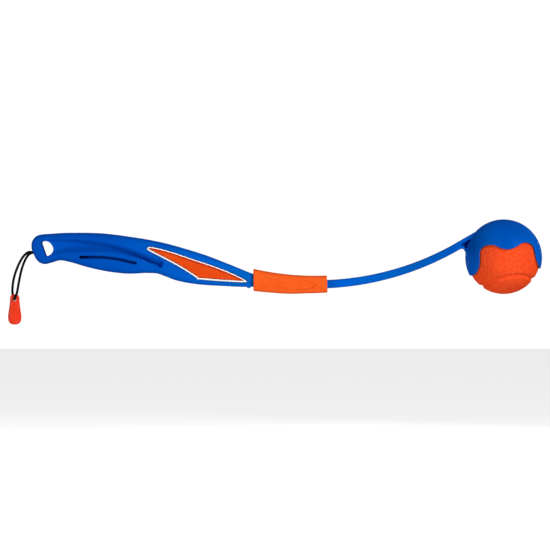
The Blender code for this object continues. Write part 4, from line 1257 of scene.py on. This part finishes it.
def twisted_tube(name, route, radius, lay):
    """A tube along a route whose plies turn about it once in each lay length."""
    ahead = (route[1] - route[0]).normalized()
    normal = ahead.orthogonal().normalized()
    rings = []
    reach = 0.0
    for i, here in enumerate(route):
        now = (route[min(i + 1, len(route) - 1)] - route[max(i - 1, 0)]).normalized()
        normal = (ahead.rotation_difference(now) @ normal).normalized()
        ahead = now
        if i:
            reach += (here - route[i - 1]).length
        side = ahead.cross(normal)
        twist = math.tau * reach / lay
        ring = []
        for a in angles(CORD_SIDES):
            out = plied_radius(a - twist, radius)
            ring.append(here + out * (math.cos(a) * normal + math.sin(a) * side))
        rings.append(ring)
    return loft(name, rings)


def make_cord():
    route, length = cord_route()
    cord = twisted_tube("twisted_cord", route, CORD_RADIUS + CORD_FLUFF, CORD_LAY)
    close_skin(cord)
    place(cord, "handle", polyester_cord(), "lanyard_cord")
    return cord, route, length


def make_knot():
    """The tight knot of both strands, in its seat beside the hang hole."""
    centre = (KNOT_LOW + KNOT_HIGH) / 2
    wide = (KNOT_HIGH.z - KNOT_LOW.z) / 2 - KNOT_STRAND_RADIUS
    long = (KNOT_HIGH.x - KNOT_LOW.x) / 2 - KNOT_STRAND_RADIUS
    route = []
    for t in angles(KNOT_STATIONS):
        x = -math.sin(3 * t) * long
        y = (math.sin(t) + 2 * math.sin(2 * t)) / 3 * wide
        z = (math.cos(t) - 2 * math.cos(2 * t)) / 3 * wide
        route.append(centre + Vector((x, y, z)))
    tube = twisted_tube("knot_tube", route + route[:1], KNOT_STRAND_RADIUS, CORD_LAY)
    knot = moulded("cord_knot", tube, [], SMALL_VOXEL, 1)
    place(knot, "handle", polyester_cord(), "lanyard_knot")
    return knot


def make_tab():
    """The drop-shaped pull tab that hangs on the cord."""
    x = (TAB_LOW.x + TAB_HIGH.x) / 2
    rings = []
    for i in range(TAB_STATIONS + 1):
        down = (1 - math.cos(math.pi * i / TAB_STATIONS)) / 2
        half = smooth_value(TAB_SHARES, down, 1) * TAB_WIDTH / 2
        deep = smooth_value(TAB_SHARES, down, 2) * TAB_THICKNESS / 2
        z = TAB_HIGH.z - down * TAB_LENGTH
        rings.append([(x + half * math.cos(a), -deep * math.sin(a), z) for a in angles(ROD_STEPS)])
    hole_at = (x, 0.0, TAB_HIGH.z - TAB_HOLE_DROP)
    hole = rod("hole", hole_at, ACROSS, TAB_HOLE_RADIUS, 2 * TAB_THICKNESS)
    tab = moulded("rubber_tab", loft("tab_blank", rings), [("DIFFERENCE", hole)], SMALL_VOXEL, 4)
    place(tab, "handle", red_rubber(), "pull_tab")
    return tab


def place(piece, body, finish, node_name):
    """Gives a piece its finish, the body that carries it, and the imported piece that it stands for."""
    piece.data.materials.clear()
    piece.data.materials.append(finish)
    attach(piece, body)
    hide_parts(node_name)


# Finishes


def linear(code):
    """A colour from its sRGB hex code."""
    parts = [int(code[i:i + 2], 16) / 255 for i in (1, 3, 5)]
    return (*(p / 12.92 if p <= 0.04045 else ((p + 0.055) / 1.055) ** 2.4 for p in parts), 1.0)


def per_mm(size):
    """The scale of a noise whose features are this many millimetres across."""
    return 1.0 / (size * MM)


def node(tree, kind, inputs=None, **settings):
    """Adds a node, gives it its settings, and fills its inputs with values or with other nodes' outputs."""
    made = tree.nodes.new(kind)
    for key, value in settings.items():
        setattr(made, key, value)
    for key, value in (inputs or {}).items():
        if isinstance(value, bpy.types.NodeSocket):
            tree.links.new(value, made.inputs[key])
        else:
            made.inputs[key].default_value = value
    return made


def finish(name, low, high, patch_mm, grain_mm, grain_depth, roughness, spread, specular, **more):
    """A finish whose colour drifts between two tones and whose surface has a fine grain.

    patch_mm is how wide the drifts of colour are, grain_mm how wide a grain is and grain_depth how high, in
    mm too. The roughness varies by its spread with the grain.
    """
    made = bpy.data.materials.new(name)
    made.use_nodes = True
    tree = made.node_tree
    shader = tree.nodes["Principled BSDF"]
    where = node(tree, "ShaderNodeTexCoord").outputs["Object"]
    patch = node(tree, "ShaderNodeTexNoise", {"Vector": where, "Scale": per_mm(patch_mm), "Detail": 4.0})
    grain = node(tree, "ShaderNodeTexNoise", {"Vector": where, "Scale": per_mm(grain_mm), "Detail": 2.0})
    tone = node(tree, "ShaderNodeValToRGB", {"Fac": patch.outputs["Fac"]})
    for stop, place_at, code in zip(tone.color_ramp.elements, (0.3, 0.7), (low, high)):
        stop.position = place_at
        stop.color = linear(code)
    rough = node(
        tree,
        "ShaderNodeMapRange",
        {"Value": grain.outputs["Fac"], "To Min": roughness - spread, "To Max": roughness + spread},
    )
    bump = node(
        tree,
        "ShaderNodeBump",
        {"Height": grain.outputs["Fac"], "Strength": 1.0, "Distance": grain_depth * MM},
    )
    tree.links.new(tone.outputs["Color"], shader.inputs["Base Color"])
    tree.links.new(rough.outputs["Result"], shader.inputs["Roughness"])
    tree.links.new(bump.outputs["Normal"], shader.inputs["Normal"])
    shader.inputs["Specular IOR Level"].default_value = specular
    for key, value in more.items():
        shader.inputs[key.replace("_", " ")].default_value = value
    return made


@cache
def blue_polypropylene():
    """Polypropylene, injection moulded in a lightly eroded tool: a deep blue with a satin skin.

    Painted light and shade along its length lighten the blue on the neck and arm and darken it towards the
    grip's end and in places on the cup.
    """
    made = finish(
        "satin_blue_polypropylene", "#005ed2", "#0164db", 22.0, 0.7, 0.010, 0.40, 0.04, 0.14,
        Specular_Tint=linear("#0a6cf0"),
    )
    tree = made.node_tree
    # The base colour is multiplied by a ramp of painted light and shade along the thrower, read from the
    # table of shares above
    where = node(tree, "ShaderNodeTexCoord").outputs["Object"]
    along = node(tree, "ShaderNodeSeparateXYZ", {"Vector": where}).outputs["X"]
    first, last = BLUE_PAINTED_LIGHT_SHARES[0][0] * MM, BLUE_PAINTED_LIGHT_SHARES[-1][0] * MM
    place_at = node(tree, "ShaderNodeMapRange", {"Value": along, "From Min": first, "From Max": last})
    depth = node(tree, "ShaderNodeValToRGB", {"Fac": place_at.outputs["Result"]})
    stops = depth.color_ramp.elements
    while len(stops) < len(BLUE_PAINTED_LIGHT_SHARES):
        stops.new(0.5)
    for stop, (x, green, blue) in zip(stops, BLUE_PAINTED_LIGHT_SHARES):
        stop.position = (x * MM - first) / (last - first)
        stop.color = (green, green, blue, 1.0)
    shader = tree.nodes["Principled BSDF"]
    tone = shader.inputs["Base Color"].links[0].from_socket
    # This multiply lays the painted light and shade over the blue's own drifting tone
    deeper = node(tree, "ShaderNodeMix", data_type="RGBA", blend_type="MULTIPLY")
    # A mix has sockets of the same names for numbers, vectors and colours: these are the ones for colours
    factor, first_colour, second_colour = (deeper.inputs[i] for i in (0, 6, 7))
    factor.default_value = 1.0
    tree.links.new(tone, first_colour)
    tree.links.new(depth.outputs["Color"], second_colour)
    tree.links.new(deeper.outputs[2], shader.inputs["Base Color"])
    return made


def orange_rubber():
    """Thermoplastic rubber, moulded: a soft dry orange that hardly shines."""
    return finish("soft_orange_rubber", "#f35a17", "#f8621d", 14.0, 0.6, 0.015, 0.58, 0.05, 0.08)


def ball_rubber():
    """Natural rubber, pressure moulded in a sand-blasted tool: a fine pebble that breaks the shine up."""
    return finish("pebbled_ball_rubber", "#f24418", "#fd5826", 2.2, 0.9, 0.060, 0.66, 0.06, 0.08)


def orange_vinyl():
    """Printed vinyl, smooth: a clean orange that shines more than the plastic round it."""
    return finish("orange_vinyl", "#e24710", "#e84e13", 18.0, 2.5, 0.004, 0.36, 0.03, 0.04)


def white_vinyl():
    """White vinyl, moulded smooth: its rounded rim stands round the orange."""
    return finish("white_vinyl", "#f6f6f4", "#fcfcfb", 18.0, 2.5, 0.004, 0.36, 0.03, 0.20)


def drawn_steel():
    """Drawn steel wire, cut to length: fine marks and a grey shine."""
    return finish("drawn_steel", "#b9bbbd", "#c9cbcd", 3.0, 0.25, 0.006, 0.28, 0.08, 0.50, Metallic=1.0)


@cache
def polyester_cord():
    """Polyester filament, twisted in three plies: black, with a dull sheen off the filaments."""
    return finish(
        "twisted_polyester", "#030304", "#08080a", 2.0, 0.22, 0.050, 0.72, 0.10, 0.08,
        Sheen_Weight=0.03, Sheen_Roughness=0.5,
    )


def red_rubber():
    """Thermoplastic rubber in a redder orange, moulded smooth."""
    return finish("red_rubber", "#ec371a", "#f13e1f", 8.0, 0.7, 0.012, 0.40, 0.05, 0.10)


# Studio


def make_studio():
    """A pale paper floor that the camera sees but that lights nothing, a white backdrop, and the lights."""
    far = FLOOR_REACH
    corners = [(x, y, FLOOR_Z) for x, y in ((-far, -far), (far, -far), (far, far), (-far, far))]
    floor = mesh_object("floor", corners, [(0, 1, 2, 3)])
    paper = bpy.data.materials.new("white_paper")
    paper.use_nodes = True
    shader = paper.node_tree.nodes["Principled BSDF"]
    shader.inputs["Base Color"].default_value = (0.9, 0.9, 0.9, 1.0)
    shader.inputs["Roughness"].default_value = 0.9
    shader.inputs["Emission Color"].default_value = (1.0, 1.0, 1.0, 1.0)
    shader.inputs["Emission Strength"].default_value = FLOOR_GLOW
    floor.data.materials.append(paper)
    floor.visible_diffuse = False
    floor.visible_glossy = False
    floor.visible_shadow = False

    world = bpy.data.worlds.new("studio")
    world.use_nodes = True
    bpy.context.scene.world = world
    tree = world.node_tree
    tree.nodes.clear()
    seen = node(tree, "ShaderNodeLightPath").outputs["Is Camera Ray"]
    brightness = {"Value": seen, "To Min": ROOM_LIGHT, "To Max": BACKDROP_GLOW}
    strength = node(tree, "ShaderNodeMapRange", brightness)
    sky = node(tree, "ShaderNodeBackground", {"Strength": strength.outputs["Result"]})
    sky.inputs["Color"].default_value = (1.0, 1.0, 1.0, 1.0)
    node(tree, "ShaderNodeOutputWorld", {"Surface": sky.outputs["Background"]})

    for name, place_at, size, watts in SOFTBOXES:
        softbox(name, place_at, size, watts)
    bpy.context.scene.view_settings.view_transform = "Standard"


def softbox(name, place_at, size, watts):
    """A square light aimed at the thrower. One behind lights its far side, but leaves no bright rim here."""
    light = bpy.data.lights.new(name, "AREA")
    light.shape = "SQUARE"
    light.size = size
    light.energy = watts
    made = scene_object(name, light)
    made.location = place_at
    made.rotation_euler = (LIGHTS_AIM - Vector(place_at)).to_track_quat("-Z", "Y").to_euler()
    made.visible_glossy = place_at[1] < 0


def make_camera():
    """The photograph's own view: level, square to the thrower's side, from well away."""
    data = bpy.data.cameras.new("photo_view")
    data.sensor_fit = "HORIZONTAL"
    data.sensor_width = SENSOR_WIDTH
    data.lens = SENSOR_WIDTH * -CAMERA_PLACE.y / VIEW_WIDTH
    data.clip_end = CAMERA_REACH
    camera = scene_object("photo_view", data)
    camera.location = CAMERA_PLACE
    camera.rotation_euler = (math.radians(90), 0.0, 0.0)
    bpy.context.scene.camera = camera


make_camera()
cord, cord_path, cord_length = make_cord()
knot = make_knot()
tab = make_tab()
tuple(cord_path[0])
[tuple(p) for p in cord_path]
make_handle()
make_badge()
make_pin()
make_arm()
make_ball()
make_sleeve()
make_studio()
